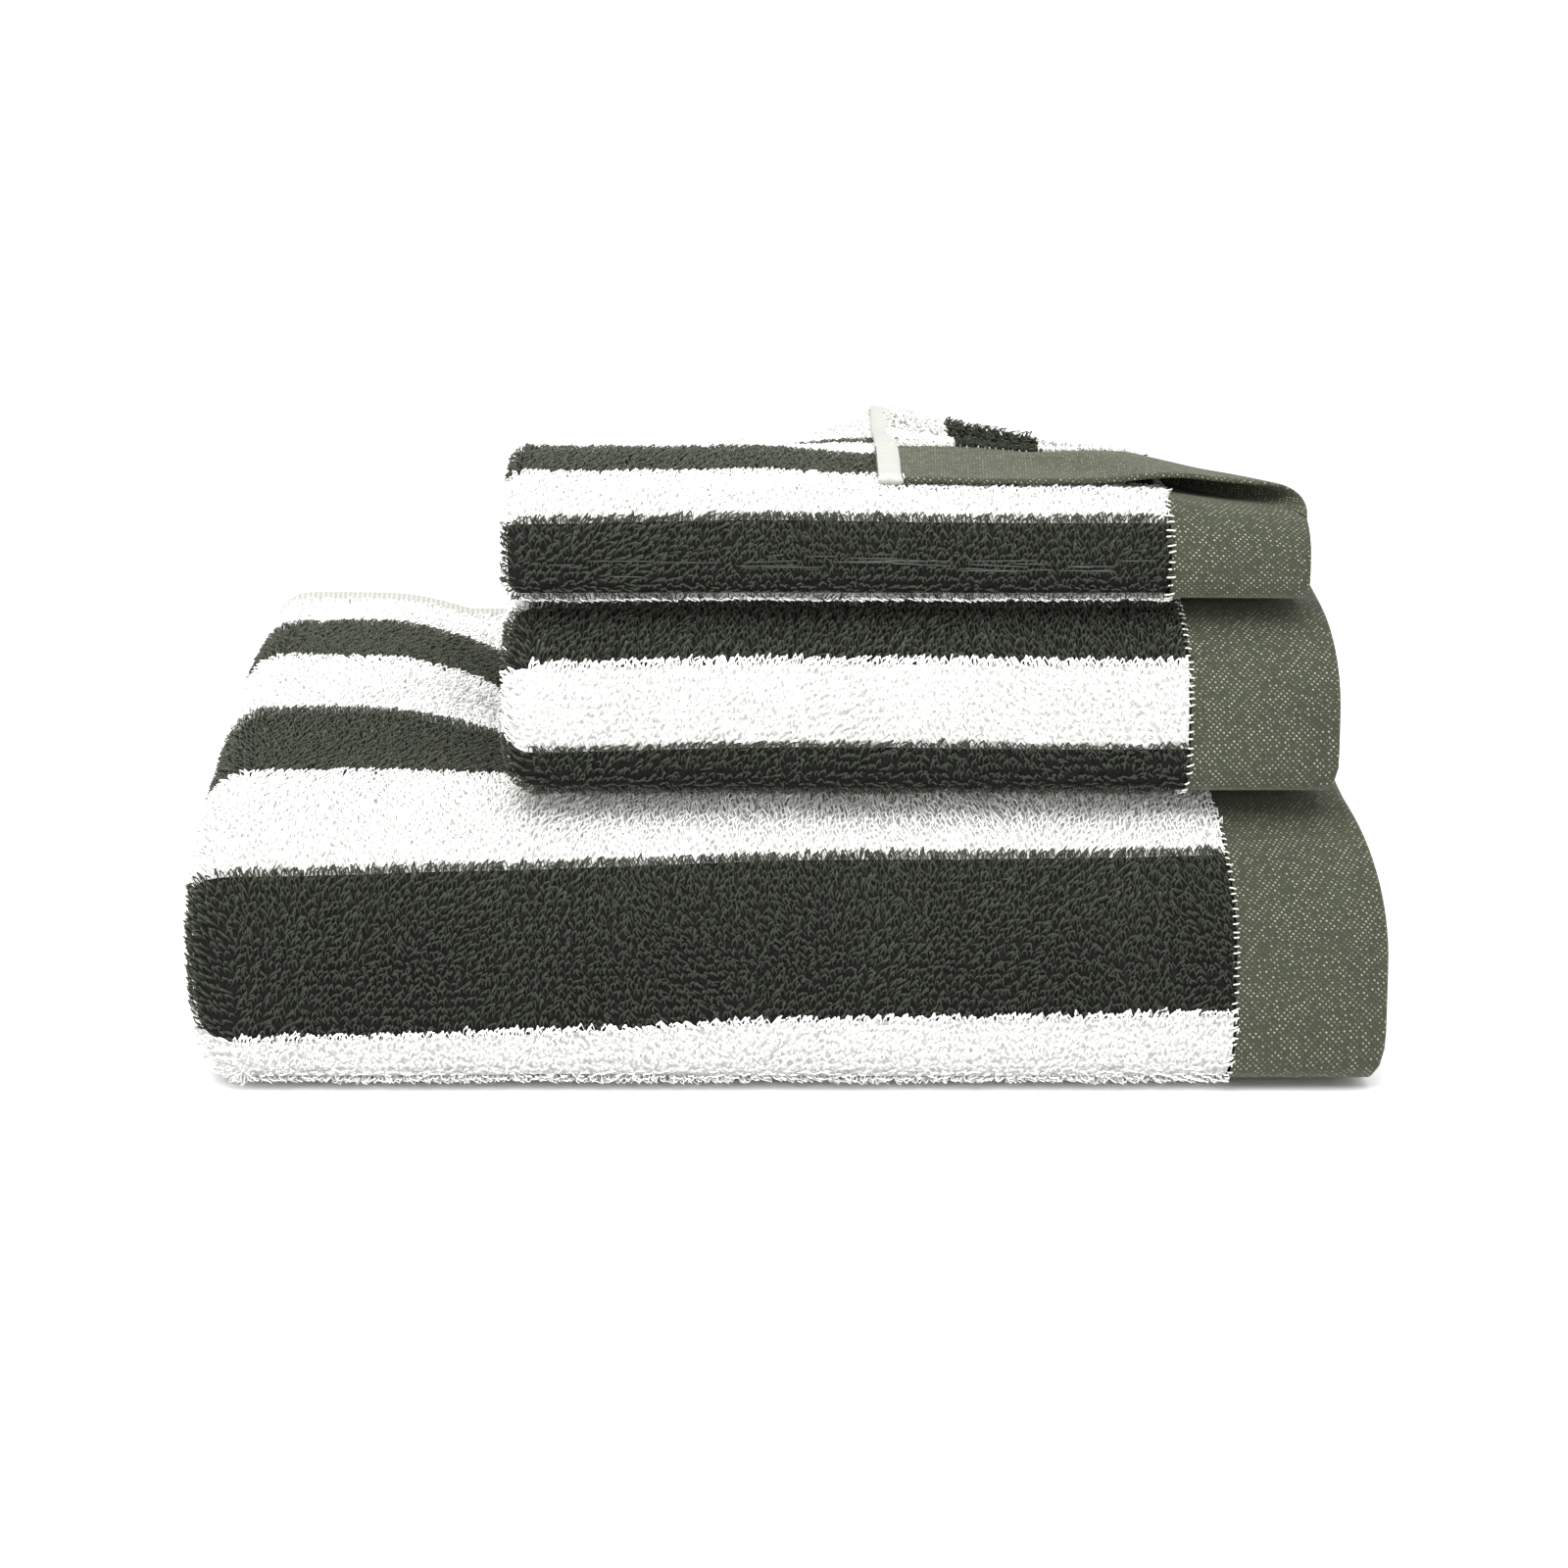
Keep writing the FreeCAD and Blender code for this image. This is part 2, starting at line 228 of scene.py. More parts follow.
def round_in(s):
    """Rise of a quarter circle: 1 - sqrt(1 - s^2) for s in 0..1."""
    return 1 - np.sqrt(1 - np.clip(s, 0, 0.999) ** 2)


SQUARE = {"bath": 9.0, "hand": 7.0, "guest": 4.0}    # power of the lower front corner
BACK_SQUARE = 2.8                                    # and of the lower back one
# mm drawn in at the open end: high shoulder, low shoulder, and pushed out between
PULL = {"bath": (18.0, 9.0, 2.6), "hand": (7.0, 7.5, 0.6), "guest": (4.5, 3.0, 0.0)}
PUFF = 16.5 * MM                                     # swelling of the bath towel's free top
# guest towel: rise on the left and fall behind it; pressed down at the crease,
# more at the border and behind; at the back hem a rise to the crease and a lean
CROWN, FALL = 5.0 * MM, 8.0 * MM
PRESS, PRESS_BORDER, PRESS_BEHIND = 4.6 * MM, 1.7 * MM, 12.0 * MM
RAMP, DRIFT = 4.6 * MM, 3.4 * MM


def settle(towel, points):
    """Moves points of a neatly folded towel to where soft cloth would lie."""
    x, y, z = points[..., 0], points[..., 1] - towel.front, points[..., 2] - towel.base
    p, d, top = towel.pack, towel.depth, 3 * towel.pack
    # lower front and lower back corners fill out under the weight
    dy, dz = 1.5 * p - y, 1.5 * p - z
    inside = (dy > 0) & (dz > 0)
    ny, nz = fill_corner(np.maximum(dy, 0), np.maximum(dz, 0), SQUARE[towel.name])
    y, z = np.where(inside, 1.5 * p - ny, y), np.where(inside, 1.5 * p - nz, z)
    dy, dz = y - (d - p), p - z
    inside = (dy > 0) & (dz > 0)
    ny, nz = fill_corner(np.maximum(dy, 0), np.maximum(dz, 0), BACK_SQUARE)
    y, z = np.where(inside, d - p + ny, y), np.where(inside, p - nz, z)
    share = np.clip(z / top, 0, 1.2)
    if towel.name == "bath":
        # the free left part of the top swells, and less so the part behind
        beside = 1 - (1 - np.clip((-0.0845 - x) / 0.05, 0, 1)) ** 2
        behind = 0.7 * ease((y - 0.19) / 0.03) * (1 - 0.5 * ease((x - 0.06) / 0.08))
        free = np.maximum(beside, behind)
        z = z + PUFF * ease((y - 0.02) / 0.15) * free * share ** 1.5
        z = z + 1.0 * MM * ripple(x, y, 3, 0.11) * np.maximum(free, 0.2) * share
    elif towel.name == "hand":
        z = z + 0.7 * MM * ripple(x, y, 5, 0.09) * share * ease((y - 0.02) / 0.03)
    else:
        # a crown on the left, falling away behind; pressed down along the crease
        left = 1 - ease((x + 0.01) / 0.045)
        crown = CROWN * np.exp(-((y - 0.056) / 0.03) ** 2) - FALL * ease((y - 0.065) / 0.07)
        crease = (x - crease_x + y - d) / ROOT2
        firm = PRESS + PRESS_BORDER * ease((x - 0.10) / 0.03)
        pressed = -firm * ease((crease + 0.045) / 0.045) - PRESS_BEHIND * ease(crease / 0.06)
        pressed = pressed + 1.5 * MM * np.exp(-((y - 0.06) / 0.03) ** 2)
        # near the back hem the ply rises to the crease like a ramp and leans left
        along = (x - crease_x + d - y) / ROOT2
        ramp = ease(1 + crease / 0.02) * (1 - ease(crease / 0.02)) * (1 - ease((along - 0.012) / 0.055))
        z = z + (left * crown + (1 - left) * pressed + RAMP * ramp) * share ** 1.3
        drift = ease((x - crease_x + 0.045) / 0.035) * (1 - ease((x - crease_x - 0.02) / 0.07))
        x = x - DRIFT * drift * share ** 2
        z = z + 0.5 * MM * ripple(x, y, 8, 0.07) * share
    # the open end is drawn in at its shoulders, a little already at the seam
    high, low, out = PULL[towel.name]
    reach = ease((x - (towel.seam - 0.05)) / (towel.right - towel.seam + 0.05))
    level = np.clip(z / top, 0, 1)
    drawn = high * round_in((level - 0.45) / 0.55) + low * round_in((0.22 - level) / 0.22) - out
    x = x - MM * reach * drawn
    # the left fold is fullest at half height and tighter near the ground
    edge = 1 - ease((x - towel.left) / 0.03)
    x = x + MM * edge * (5.0 * round_in((0.25 - level) / 0.25) - out * np.sin(math.pi * level))
    y = y + 1.0 * MM * ripple(x, z, 11, 0.14) * ease(1 - y / (2 * p)) * share
    return np.stack([x, y + towel.front, z + towel.base], -1)


SKEW = {"bath": 3.2, "hand": 0.6, "guest": 0.3}      # mm either side of straight


def cloth_point(towel, x, w, t):
    """Point of the towel: the path at t, stepped w outwards, at x, then settled.

    No towel is folded quite straight: t is shifted by a slope along x and a slow
    wave, so the stripes run a little askew.
    """
    x = x + 0 * t
    middle, half = (towel.left + towel.right) / 2, (towel.right - towel.left) / 2
    askew = SKEW[towel.name] * (middle - x) / half + 0.9 * ripple(x, 0 * x, 61, 0.16)
    y, z, ny, nz = fold_path(towel, t + askew * MM)
    points = np.stack([x, towel.front + y + w * ny, towel.base + z + w * nz], -1)
    return settle(towel, points)


# %% [markdown]
# Every surface below is a grid of points. One helper turns such a grid into a
# mesh with its own UV map, measured in metres along the cloth, because weave and
# stripes have to follow the cloth and not the room.

# %% From a grid of points to a mesh
def grid_quads(rows, cols):
    """Corner numbers of the quads of a rows by cols grid."""
    k = np.arange(rows * cols).reshape(rows, cols)
    return np.stack([k[:-1, :-1], k[:-1, 1:], k[1:, 1:], k[1:, :-1]], -1).reshape(-1, 4)


def mesh_piece(name, points, quads, uv, material):
    """A smooth mesh object from points, faces and, if given, one UV pair per point."""
    points = np.asarray(points, np.float32).reshape(-1, 3)
    faces = np.asarray(quads, np.int32)
    corners = faces.shape[1]
    mesh = bpy.data.meshes.new(name)
    mesh.vertices.add(len(points))
    mesh.vertices.foreach_set("co", points.ravel())
    mesh.loops.add(faces.size)
    mesh.loops.foreach_set("vertex_index", faces.ravel())
    mesh.polygons.add(len(faces))
    mesh.polygons.foreach_set("loop_start", np.arange(0, faces.size, corners, dtype=np.int32))
    mesh.update(calc_edges=True)
    mesh.polygons.foreach_set("use_smooth", np.full(len(faces), True))
    if uv is not None:
        layer = mesh.uv_layers.new(name="cloth")
        flat = np.asarray(uv, np.float32).reshape(-1, 2)[faces.ravel()]
        layer.data.foreach_set("uv", flat.ravel())
    mesh.materials.append(material)
    mesh.validate()
    obj = bpy.data.objects.new(name, mesh)
    bpy.context.scene.collection.objects.link(obj)
    return obj


def grid_piece(name, points, uv, material):
    """A mesh object from a rows by cols grid of points."""
    rows, cols = points.shape[:2]
    return mesh_piece(name, points, grid_quads(rows, cols), uv, material)


# %% [markdown]
# Cotton yarn is matt with a little fuzz that catches light at grazing angles, so
# each yarn material is a rough surface with a faint sheen. The loops' roots, where
# little light reaches, are given painted shade: each loop carries a number of its
# own for that painted root shade, times a random factor per loop, and the material
# multiplies the dye by it.

# %% Yarn materials
def new_material(name, roughness=0.9, sheen=0.0, sheen_tint=(1, 1, 1)):
    """A material with a Principled shader and its constant settings."""
    material = bpy.data.materials.new(name)
    material.use_nodes = True
    shader = material.node_tree.nodes["Principled BSDF"]
    shader.inputs["Roughness"].default_value = roughness
    shader.inputs["Specular IOR Level"].default_value = 0.2
    shader.inputs["Sheen Weight"].default_value = sheen
    shader.inputs["Sheen Roughness"].default_value = 0.6
    shader.inputs["Sheen Tint"].default_value = (*sheen_tint, 1)
    return material, material.node_tree, shader


def feed(tree, socket, value):
    """Gives a socket its value: a link, an RGB triple, or a plain number."""
    if isinstance(value, bpy.types.NodeSocket):
        tree.links.new(value, socket)
    elif socket.type == "RGBA":
        socket.default_value = (*value, 1)
    else:
        socket.default_value = value


def node(tree, kind, **inputs):
    """Adds a node and feeds its inputs by name."""
    made = tree.nodes.new(kind)
    for key, value in inputs.items():
        feed(tree, made.inputs[key], value)
    return made


def math_node(tree, operation, a, b=0.0):
    """One operation on two values."""
    made = tree.nodes.new("ShaderNodeMath")
    made.operation = operation
    feed(tree, made.inputs[0], a)
    feed(tree, made.inputs[1], b)
    return made.outputs[0]


def rescale(tree, value, low, high, top=1.0):
    """Carries 0..top to low..high."""
    made = node(tree, "ShaderNodeMapRange", Value=value)
    for name, number in (("From Max", top), ("To Min", low), ("To Max", high)):
        made.inputs[name].default_value = number
    return made.outputs[0]


def blend_colours(tree, share, first, second, kind="MIX"):
    """Mixes two colours by share."""
    made = tree.nodes.new("ShaderNodeMix")
    made.data_type = "RGBA"
    made.blend_type = kind
    for number, value in ((0, share), (6, first), (7, second)):
        feed(tree, made.inputs[number], value)
    return made.outputs[2]


def places(tree):
    """The piece's own coordinates in metres."""
    return tree.nodes.new("ShaderNodeTexCoord").outputs["Object"]


def cloth_map(tree):
    """The piece's UV map, measured along the cloth."""
    uv = tree.nodes.new("ShaderNodeUVMap")
    uv.uv_map = "cloth"
    return uv.outputs[0]


def yarn_material(name, root, tip, sheen, tint):
    """Dyed loop yarn with painted shade: the darker root colour towards each loop's foot, the dye at its
    top, mottled by slow noise.
    """
    material, tree, shader = new_material(name, 0.95, sheen, tint)
    tone = tree.nodes.new("ShaderNodeAttribute")
    tone.attribute_name = "tone"
    mottle = node(tree, "ShaderNodeTexNoise", Vector=places(tree), Scale=45.0, Detail=3.0)
    worn = rescale(tree, mottle.outputs[0], 0.82, 1.15)
    # painted shade: from the dark root colour at each loop's foot, where little light reaches, to the dye at
    # its top
    dye = blend_colours(tree, tone.outputs["Fac"], root, tip)
    shade = blend_colours(tree, 1.0, dye, worn, "MULTIPLY")
    tree.links.new(shade, shader.inputs["Base Color"])
    return material


DARK, WHITE = (0.025, 0.030, 0.021), (0.94, 0.935, 0.92)
# the first colour of each yarn is painted shade for the loops' roots, the second is the dye
dark_yarn = yarn_material("dark_loop_yarn", (0.009, 0.011, 0.008), DARK, 0.22, (0.6, 0.63, 0.48))
white_yarn = yarn_material("white_loop_yarn", (0.82, 0.81, 0.78), WHITE, 0.25, (1, 1, 1))
YARNS = (("dark", dark_yarn), ("white", white_yarn))      # of even and of odd stripes
print("yarns:", dark_yarn.name, white_yarn.name)

# %% [markdown]
# Under the loops lies the ground cloth, a plain weave dyed in the same stripes.
# Its stripes are worked out from the UV map: the second coordinate is the stripe
# number, so an even whole number means dark yarn and an odd one white.

# %% Ground cloth, border, thread and hem materials
def ground_material(name, dark, white):
    """Woven ground in stripes, with a fine knotted bump."""
    material, tree, shader = new_material(name, 1.0)
    split = node(tree, "ShaderNodeSeparateXYZ", Vector=cloth_map(tree))
    half = math_node(tree, "MULTIPLY", split.outputs[1], 0.5)
    odd = math_node(tree, "GREATER_THAN", math_node(tree, "FRACT", half), 0.5)
    knots = node(tree, "ShaderNodeTexVoronoi", Vector=places(tree), Scale=800.0)
    shade = rescale(tree, knots.outputs["Distance"], 1.0, 0.45, 0.7)
    dyed = blend_colours(tree, odd, dark, white)
    colour = blend_colours(tree, 1.0, dyed, shade, "MULTIPLY")
    tree.links.new(colour, shader.inputs["Base Color"])
    bump = node(tree, "ShaderNodeBump", Height=knots.outputs["Distance"], Strength=0.8, Distance=0.0006)
    tree.links.new(bump.outputs[0], shader.inputs["Normal"])
    return material


def twill_material(name, dye, fleck):
    """Flat twill: slanting ribs with pale flecks where the light warp shows."""
    material, tree, shader = new_material(name, 0.8, 0.12, (0.8, 0.85, 0.65))
    split = node(tree, "ShaderNodeSeparateXYZ", Vector=cloth_map(tree))

    def lines(by_u, by_v):
        """Number of the slanting line: a weighted sum of the two coordinates."""
        u = math_node(tree, "MULTIPLY", split.outputs[0], by_u)
        return math_node(tree, "ADD", u, math_node(tree, "MULTIPLY", split.outputs[1], by_v))

    def near_middle(value, reach):
        """1 where the fraction of value lies within reach of one half."""
        off = math_node(tree, "SUBTRACT", math_node(tree, "FRACT", value), 0.5)
        return math_node(tree, "LESS_THAN", math_node(tree, "ABSOLUTE", off), reach)

    # ribs slant down to the right, 1.15 mm apart, with a pale point every 1.3 mm
    slant, across = lines(-560.0, 670.0), lines(590.0, 490.0)
    cell = node(tree, "ShaderNodeCombineXYZ", X=math_node(tree, "FLOOR", slant),
                Y=math_node(tree, "FLOOR", across))
    chance = node(tree, "ShaderNodeTexWhiteNoise", Vector=cell.outputs[0])
    bright = math_node(tree, "POWER", chance.outputs["Value"], 1.6)
    point = math_node(tree, "MULTIPLY", near_middle(slant, 0.2), near_middle(across, 0.21))
    speck = math_node(tree, "MULTIPLY", point, bright)
    slow = node(tree, "ShaderNodeTexNoise", Vector=places(tree), Scale=28.0, Detail=4.0)
    patchy = blend_colours(tree, 1.0, dye, rescale(tree, slow.outputs[0], 0.75, 1.25), "MULTIPLY")
    grain = rescale(tree, math_node(tree, "FRACT", slant), 0.72, 1.12)
    body = blend_colours(tree, 1.0, patchy, grain, "MULTIPLY")
    colour = blend_colours(tree, math_node(tree, "MULTIPLY", speck, 0.48), body, fleck)
    tree.links.new(colour, shader.inputs["Base Color"])
    height = math_node(tree, "PINGPONG", slant, 0.5)
    bump = node(tree, "ShaderNodeBump", Height=height, Strength=0.6, Distance=0.00035)
    tree.links.new(bump.outputs[0], shader.inputs["Normal"])
    return material


def thread_material(name, colour):
    """Twisted sewing thread: fine slanting bands of light and shade."""
    material, tree, shader = new_material(name, 0.7, 0.1)
    twist = node(tree, "ShaderNodeTexWave", Vector=places(tree), Scale=900.0, Distortion=2.0)
    shade = blend_colours(tree, twist.outputs["Fac"], tuple(0.7 * c for c in colour), colour)
    tree.links.new(shade, shader.inputs["Base Color"])
    return material


ground_cloth = ground_material("striped_ground_cloth", (0.012, 0.013, 0.011), (0.88, 0.87, 0.84))
border_twill = twill_material("olive_border_twill", (0.029, 0.033, 0.020), (0.52, 0.52, 0.41))
seam_thread = thread_material("cream_seam_thread", (0.78, 0.76, 0.68))
print("materials:", [m.name for m in (ground_cloth, border_twill, seam_thread)])

# %% [markdown]
# The terry itself is one long striped cloth. Before the letter fold it is folded
# across its length, twice for the two larger towels and once for the small one,
# so its own path runs from the outer seam round the left fold and back through
# the inner plies. Crossing that path with the letter fold gives the whole folded
# cloth with every ply in it, and its true area.

# %% The cloth's way through the plies
def joined(rows):
    """Joins runs of x and w, drops repeated points and adds the length so far."""
    x = np.concatenate([row[0] for row in rows])
    w = np.concatenate([row[1] for row in rows])
    keep = np.append(True, np.hypot(np.diff(x), np.diff(w)) > 1e-7)
    return x[keep], w[keep], length_along(x[keep], w[keep])


def ply_path(towel):
    """x, w and length along the cloth, from the outer seam to the inner one.

    Straight runs at the height of each ply are joined by half circles: at the
    left the outer wrap and the inner one, at the right the hidden terry fold.
    """
    w, c, left = towel.wrap, towel.core, towel.turn
    turn = np.linspace(0, math.pi, 13)
    rows = [(np.linspace(towel.seam, left, 60), np.full(60, w))]
    rows.append((left - w * np.sin(turn), w * np.cos(turn)))
    if towel.plies == 2:
        rows.append((np.linspace(left, towel.seam, 16), np.full(16, -w)))
    else:
        r = (w - c) / 2
        far = towel.right - 4 * MM - towel.pile - r
        rows.append((np.linspace(left, far, 24), np.full(24, -w)))
        rows.append((far + r * np.sin(turn), -w + r * (1 - np.cos(turn))))
        rows.append((np.linspace(far, left, 16), np.full(16, -c)))
        rows.append((left - c * np.sin(turn), -c * np.cos(turn)))
        rows.append((np.linspace(left, towel.seam, 16), np.full(16, c)))
    return joined(rows)


def path_steps(towel, step):
    """Distances along the letter fold, even steps with the fold ends among them."""
    marks = [0.0] + towel.ends
    parts = [np.linspace(a, b, max(3, int(round((b - a) / step)) + 1))[:-1]
             for a, b in zip(marks[:-1], marks[1:])]
    return np.append(np.concatenate(parts), towel.length)


# the crease of the turned corner starts at the back hem and ends at the border
leg = guest.right - crease_x


def rho(xc):
    """Radius of the roll along the crease: small at the hem, big in the stiff border."""
    grown = 1.7 * ease((xc - crease_x) / 0.05) + 0.6 * ease((xc - guest.seam + 0.004) / 0.02)
    return (2.3 + grown) * MM


def ply_limit(t):
    """Where the top ply ends and the roll begins, at path length t."""
    x = crease_x + t
    return x - rho(x - rho(x) * ROOT2) * ROOT2


print("turned corner's sides:", round(leg, 4), "m")


def make_ground(towel):
    """The striped ground cloth of one towel as a single folded sheet."""
    x, w, run = ply_path(towel)
    t = path_steps(towel, 4 * MM)
    X, T = np.meshgrid(x, t)
    W, R = np.meshgrid(w, t)[0], np.meshgrid(run, t)[0]
    if towel is guest:
        # the outer ply stops at the crease: its run is shortened to fit
        limit = np.minimum(guest.seam, ply_limit(T))
        outer = (R <= guest.seam - guest.turn + 1e-9) & (T < leg)
        share = (X - guest.turn) / (guest.seam - guest.turn)
        X = np.where(outer, guest.turn + share * (limit - guest.turn), X)
    points = cloth_point(towel, X, W, T)
    uv = np.stack([R, stripe_of(towel, T)], -1)
    piece = grid_piece(towel.name + "_cloth", points, uv, ground_cloth)
    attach(piece, towel.body)
    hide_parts(towel.name + "_terry_cloth")
    return piece, float(run[-1]), float(towel.length)


grounds = {}
for towel in TOWELS:
    piece, wide, long = make_ground(towel)
    grounds[towel.name] = (piece, wide, long)
    print(towel.name, "terry cloth", round(wide, 3), "by", round(long, 3), "m,",
          len(piece.data.polygons), "faces")

# %% [markdown]
# Each short end of the cloth is finished with a flat twill border, a strip sewn
# to the terry and turned round the end. It is thinner than the pile, so it lies
# lower than the terry beside it. The strip is drawn by its section, out along
# the face, round the edge and back along the inside, carried along the fold.

# %% Twill borders
THICK = {"bath": 2.6 * MM, "hand": 2.1 * MM, "guest": 1.7 * MM}     # of the turned strip
GAP = 0.6 * MM                                                    # from the seam to the strip


def border_face(towel, ply):
    """How far the strip's face lies from the pack's middle."""
    return towel.pack * (0.5 - (0.25 if towel.plies > 2 else 0.5) * ply) - towel.inset


def border_section(towel, ply):
    """x, w and length of the turned strip: face, rounded edge, inside."""
    face, thick = border_face(towel, ply), THICK[towel.name]
    r = thick / 2
    start = towel.seam + GAP
    edge = towel.right - r - (2 * MM if ply else 0)
    turn = np.linspace(0, math.pi, 9)
    return joined([(np.linspace(start, edge, 16), np.full(16, face)),
                   (edge + r * np.sin(turn), face - r + r * np.cos(turn)),
                   (np.linspace(edge, start, 8), np.full(8, face - thick))])


def make_border(towel, ply, name):
    """One border strip along the whole letter fold."""
    x, w, run = border_section(towel, ply)
    t = path_steps(towel, 3 * MM)
    if towel is guest and ply == 0:
        corner = guest.seam - crease_x + rho(guest.seam) * ROOT2 + 0.7 * MM
        t = np.append(corner, t[t > corner + 0.5 * MM])
    X, T = np.meshgrid(x, t)
    W, R = np.meshgrid(w, t)[0], np.meshgrid(run, t)[0]
    if towel is guest and ply == 0:
        limit = np.minimum(guest.right, ply_limit(T))
        start = guest.seam + GAP
        X = start + (X - start) * np.clip((limit - start) / (guest.right - start), 0.0005, 1)
    points = cloth_point(towel, X, W, T)
    piece = grid_piece(name, points, np.stack([R, outer_length(towel, T)], -1), border_twill)
    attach(piece, towel.body)
    return piece, float(run[-1]), float(t[-1] - t[0])


for towel in TOWELS:
    for ply, label in ((0, "outer"), (1, "inner")):
        name = "%s_%s_twill_border" % (towel.name, label)
        piece, wide, long = make_border(towel, ply, name)
        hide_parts("%s_%s_border" % (towel.name, label))
        print(name, round(wide, 4), "by", round(long, 3), "m")

# %% [markdown]
# Terry pile is thousands of small loops of yarn. Hair particles could draw it,
# but they aren't kept with the object, so each loop is a tiny strip bent over in
# four steps, with a ridge down its middle to look round. All loops of a stripe
# are worked out at once as one array. They lean upwards and sideways in slow
# drifts, the way a hand leaves them, and stand over the edge of their stripe.

# %% A field of loops
def unit(v):
    """Vectors of length 1 along v."""
    return v / (np.linalg.norm(v, axis=-1, keepdims=True) + 1e-12)


def frames_on(surface, a, b, da, db, side=1):
    """Point, unit tangents and normal of surface at a, b, stacked.

    The tangents are differences over two steps and the normal their cross
    product; side -1 turns the normal to the other face.
    """
    ta = unit(surface(a + da, b) - surface(a - da, b))
    tb = unit(surface(a, b + db) - surface(a, b - db))
    return np.stack([surface(a, b), ta, tb, side * unit(np.cross(tb, ta))])


def loop_field(name, frames, lean, heading, material, seed, height, yarn=0.29 * MM):
    """One mesh of bent yarn strips.

    Each loop rises from one foot, crosses over and comes down to the other. Its
    four rings sit at fixed shares of its width and height; the higher a ring is,
    the further it is carried along the lean. Each ring is a left edge, a raised
    ridge and a right edge.
    """
    here, ta, tb, n = frames
    count = len(here)
    rng = np.random.default_rng(seed)
    tall = height * rng.uniform(0.82, 1.12, count)
    wide = rng.uniform(1.05, 1.65, count) * MM
    spin = rng.normal(0, 0.45, count)
    heading = heading + rng.normal(0, 0.3, count)
    lean = np.clip(lean + rng.normal(0, 0.1, count), 0.05, 1.35)
    # in-surface axes: e across the loop, f the way it leans
    e = ta * np.cos(spin)[:, None] + tb * np.sin(spin)[:, None]
    f = -tb * np.cos(heading)[:, None] + ta * np.sin(heading)[:, None]
    side = np.cross(n, e)
    steps = np.array([[-0.5, -0.08], [-0.48, 0.72], [0.30, 1.0], [0.5, 0.35]])
    up = steps[:, 1][None, :] * tall[:, None]                      # count, 4
    carry = np.clip(steps[:, 1], 0, 1)[None, :] ** 1.3 * (tall * np.sin(lean))[:, None] * 1.25
    rise = up * np.cos(lean)[:, None]
    centre = (here[:, None, :] + e[:, None, :] * (steps[:, 0][None, :] * wide[:, None])[..., None]
              + n[:, None, :] * rise[..., None] + f[:, None, :] * carry[..., None])
    ridge_way = np.array([[-1.0, 0.2], [-0.6, 0.8], [0.45, 0.9], [1.0, 0.3]])
    ridge = (e[:, None, :] * ridge_way[None, :, 0, None] + n[:, None, :] * ridge_way[None, :, 1, None])
    ridge /= np.linalg.norm(ridge, axis=-1, keepdims=True)
    girth = yarn * rng.uniform(0.85, 1.15, count)[:, None, None]
    edge = side[:, None, :] * girth * 1.1
    rings = np.stack([centre - edge, centre + ridge * girth, centre + edge], 2)     # count, 4, 3, 3
    points = rings.reshape(-1, 3)
    strip = []
    for k in range(3):
        a = 3 * k
        strip += [(a, a + 1, a + 4, a + 3), (a + 1, a + 2, a + 5, a + 4)]
    faces = np.array(strip)[None] + 12 * np.arange(count)[:, None, None]
    piece = mesh_piece(name, points, faces.reshape(-1, 4), None, material)
    # painted shade: each ring's value is lowest at the loop's foot and highest at its top, times a random
    # factor per loop
    shade = rng.uniform(0.72, 1.0, count)[:, None, None]
    tone = np.clip(np.array([0.1, 0.75, 1.0, 0.4])[None, :, None] * shade, 0, 1) * np.ones((1, 1, 3))
    layer = piece.data.attributes.new("tone", "FLOAT", "POINT")
    layer.data.foreach_set("value", tone.astype(np.float32).ravel())
    return piece


def scatter(a0, a1, b0, b1, pitch_a, pitch_b, seed):
    """Rows of places with a little disorder, offset by half in every other row."""
    rng = np.random.default_rng(seed)
    na = max(1, int((a1 - a0) / pitch_a))
    nb = max(1, int((b1 - b0) / pitch_b))
    A, B = np.meshgrid(np.arange(na) + 0.5, np.arange(nb) + 0.5)
    A = A + 0.5 * (np.arange(nb) % 2)[:, None] - 0.25
    A = A + rng.uniform(-0.3, 0.3, A.shape)
    B = B + rng.uniform(-0.3, 0.3, B.shape)
    return a0 + A.ravel() * (a1 - a0) / na, b0 + B.ravel() * (b1 - b0) / nb


print("one loop has 6 faces and 12 points")

# %% [markdown]
# The outer ply shows on the top, round the front and round the back. Its loops
# are made stripe by stripe, so that dark and white yarn are separate pieces.

# %% Loops on the outer ply
PITCH = 1.55 * MM                             # from loop to loop


def dress(piece, body):
    """Lets a piece of pile ride on its body."""
    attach(piece, body)


def edge_rows(towel, t_end):
    """Places of the close row of loops where each stripe begins."""
    rng = np.random.default_rng(28)
    t = np.linspace(0, t_end, 8000)
    edges = t[1:][np.diff(number_of(towel, t)) > 0]
    row = np.arange(towel.turn, towel.seam, 1.15 * MM)
    X, T = np.meshgrid(row, edges)
    X = X + rng.uniform(-0.35, 0.35, X.shape) * MM
    T = T + rng.uniform(0.05, 0.6, T.shape) * MM
    return X.ravel(), T.ravel()


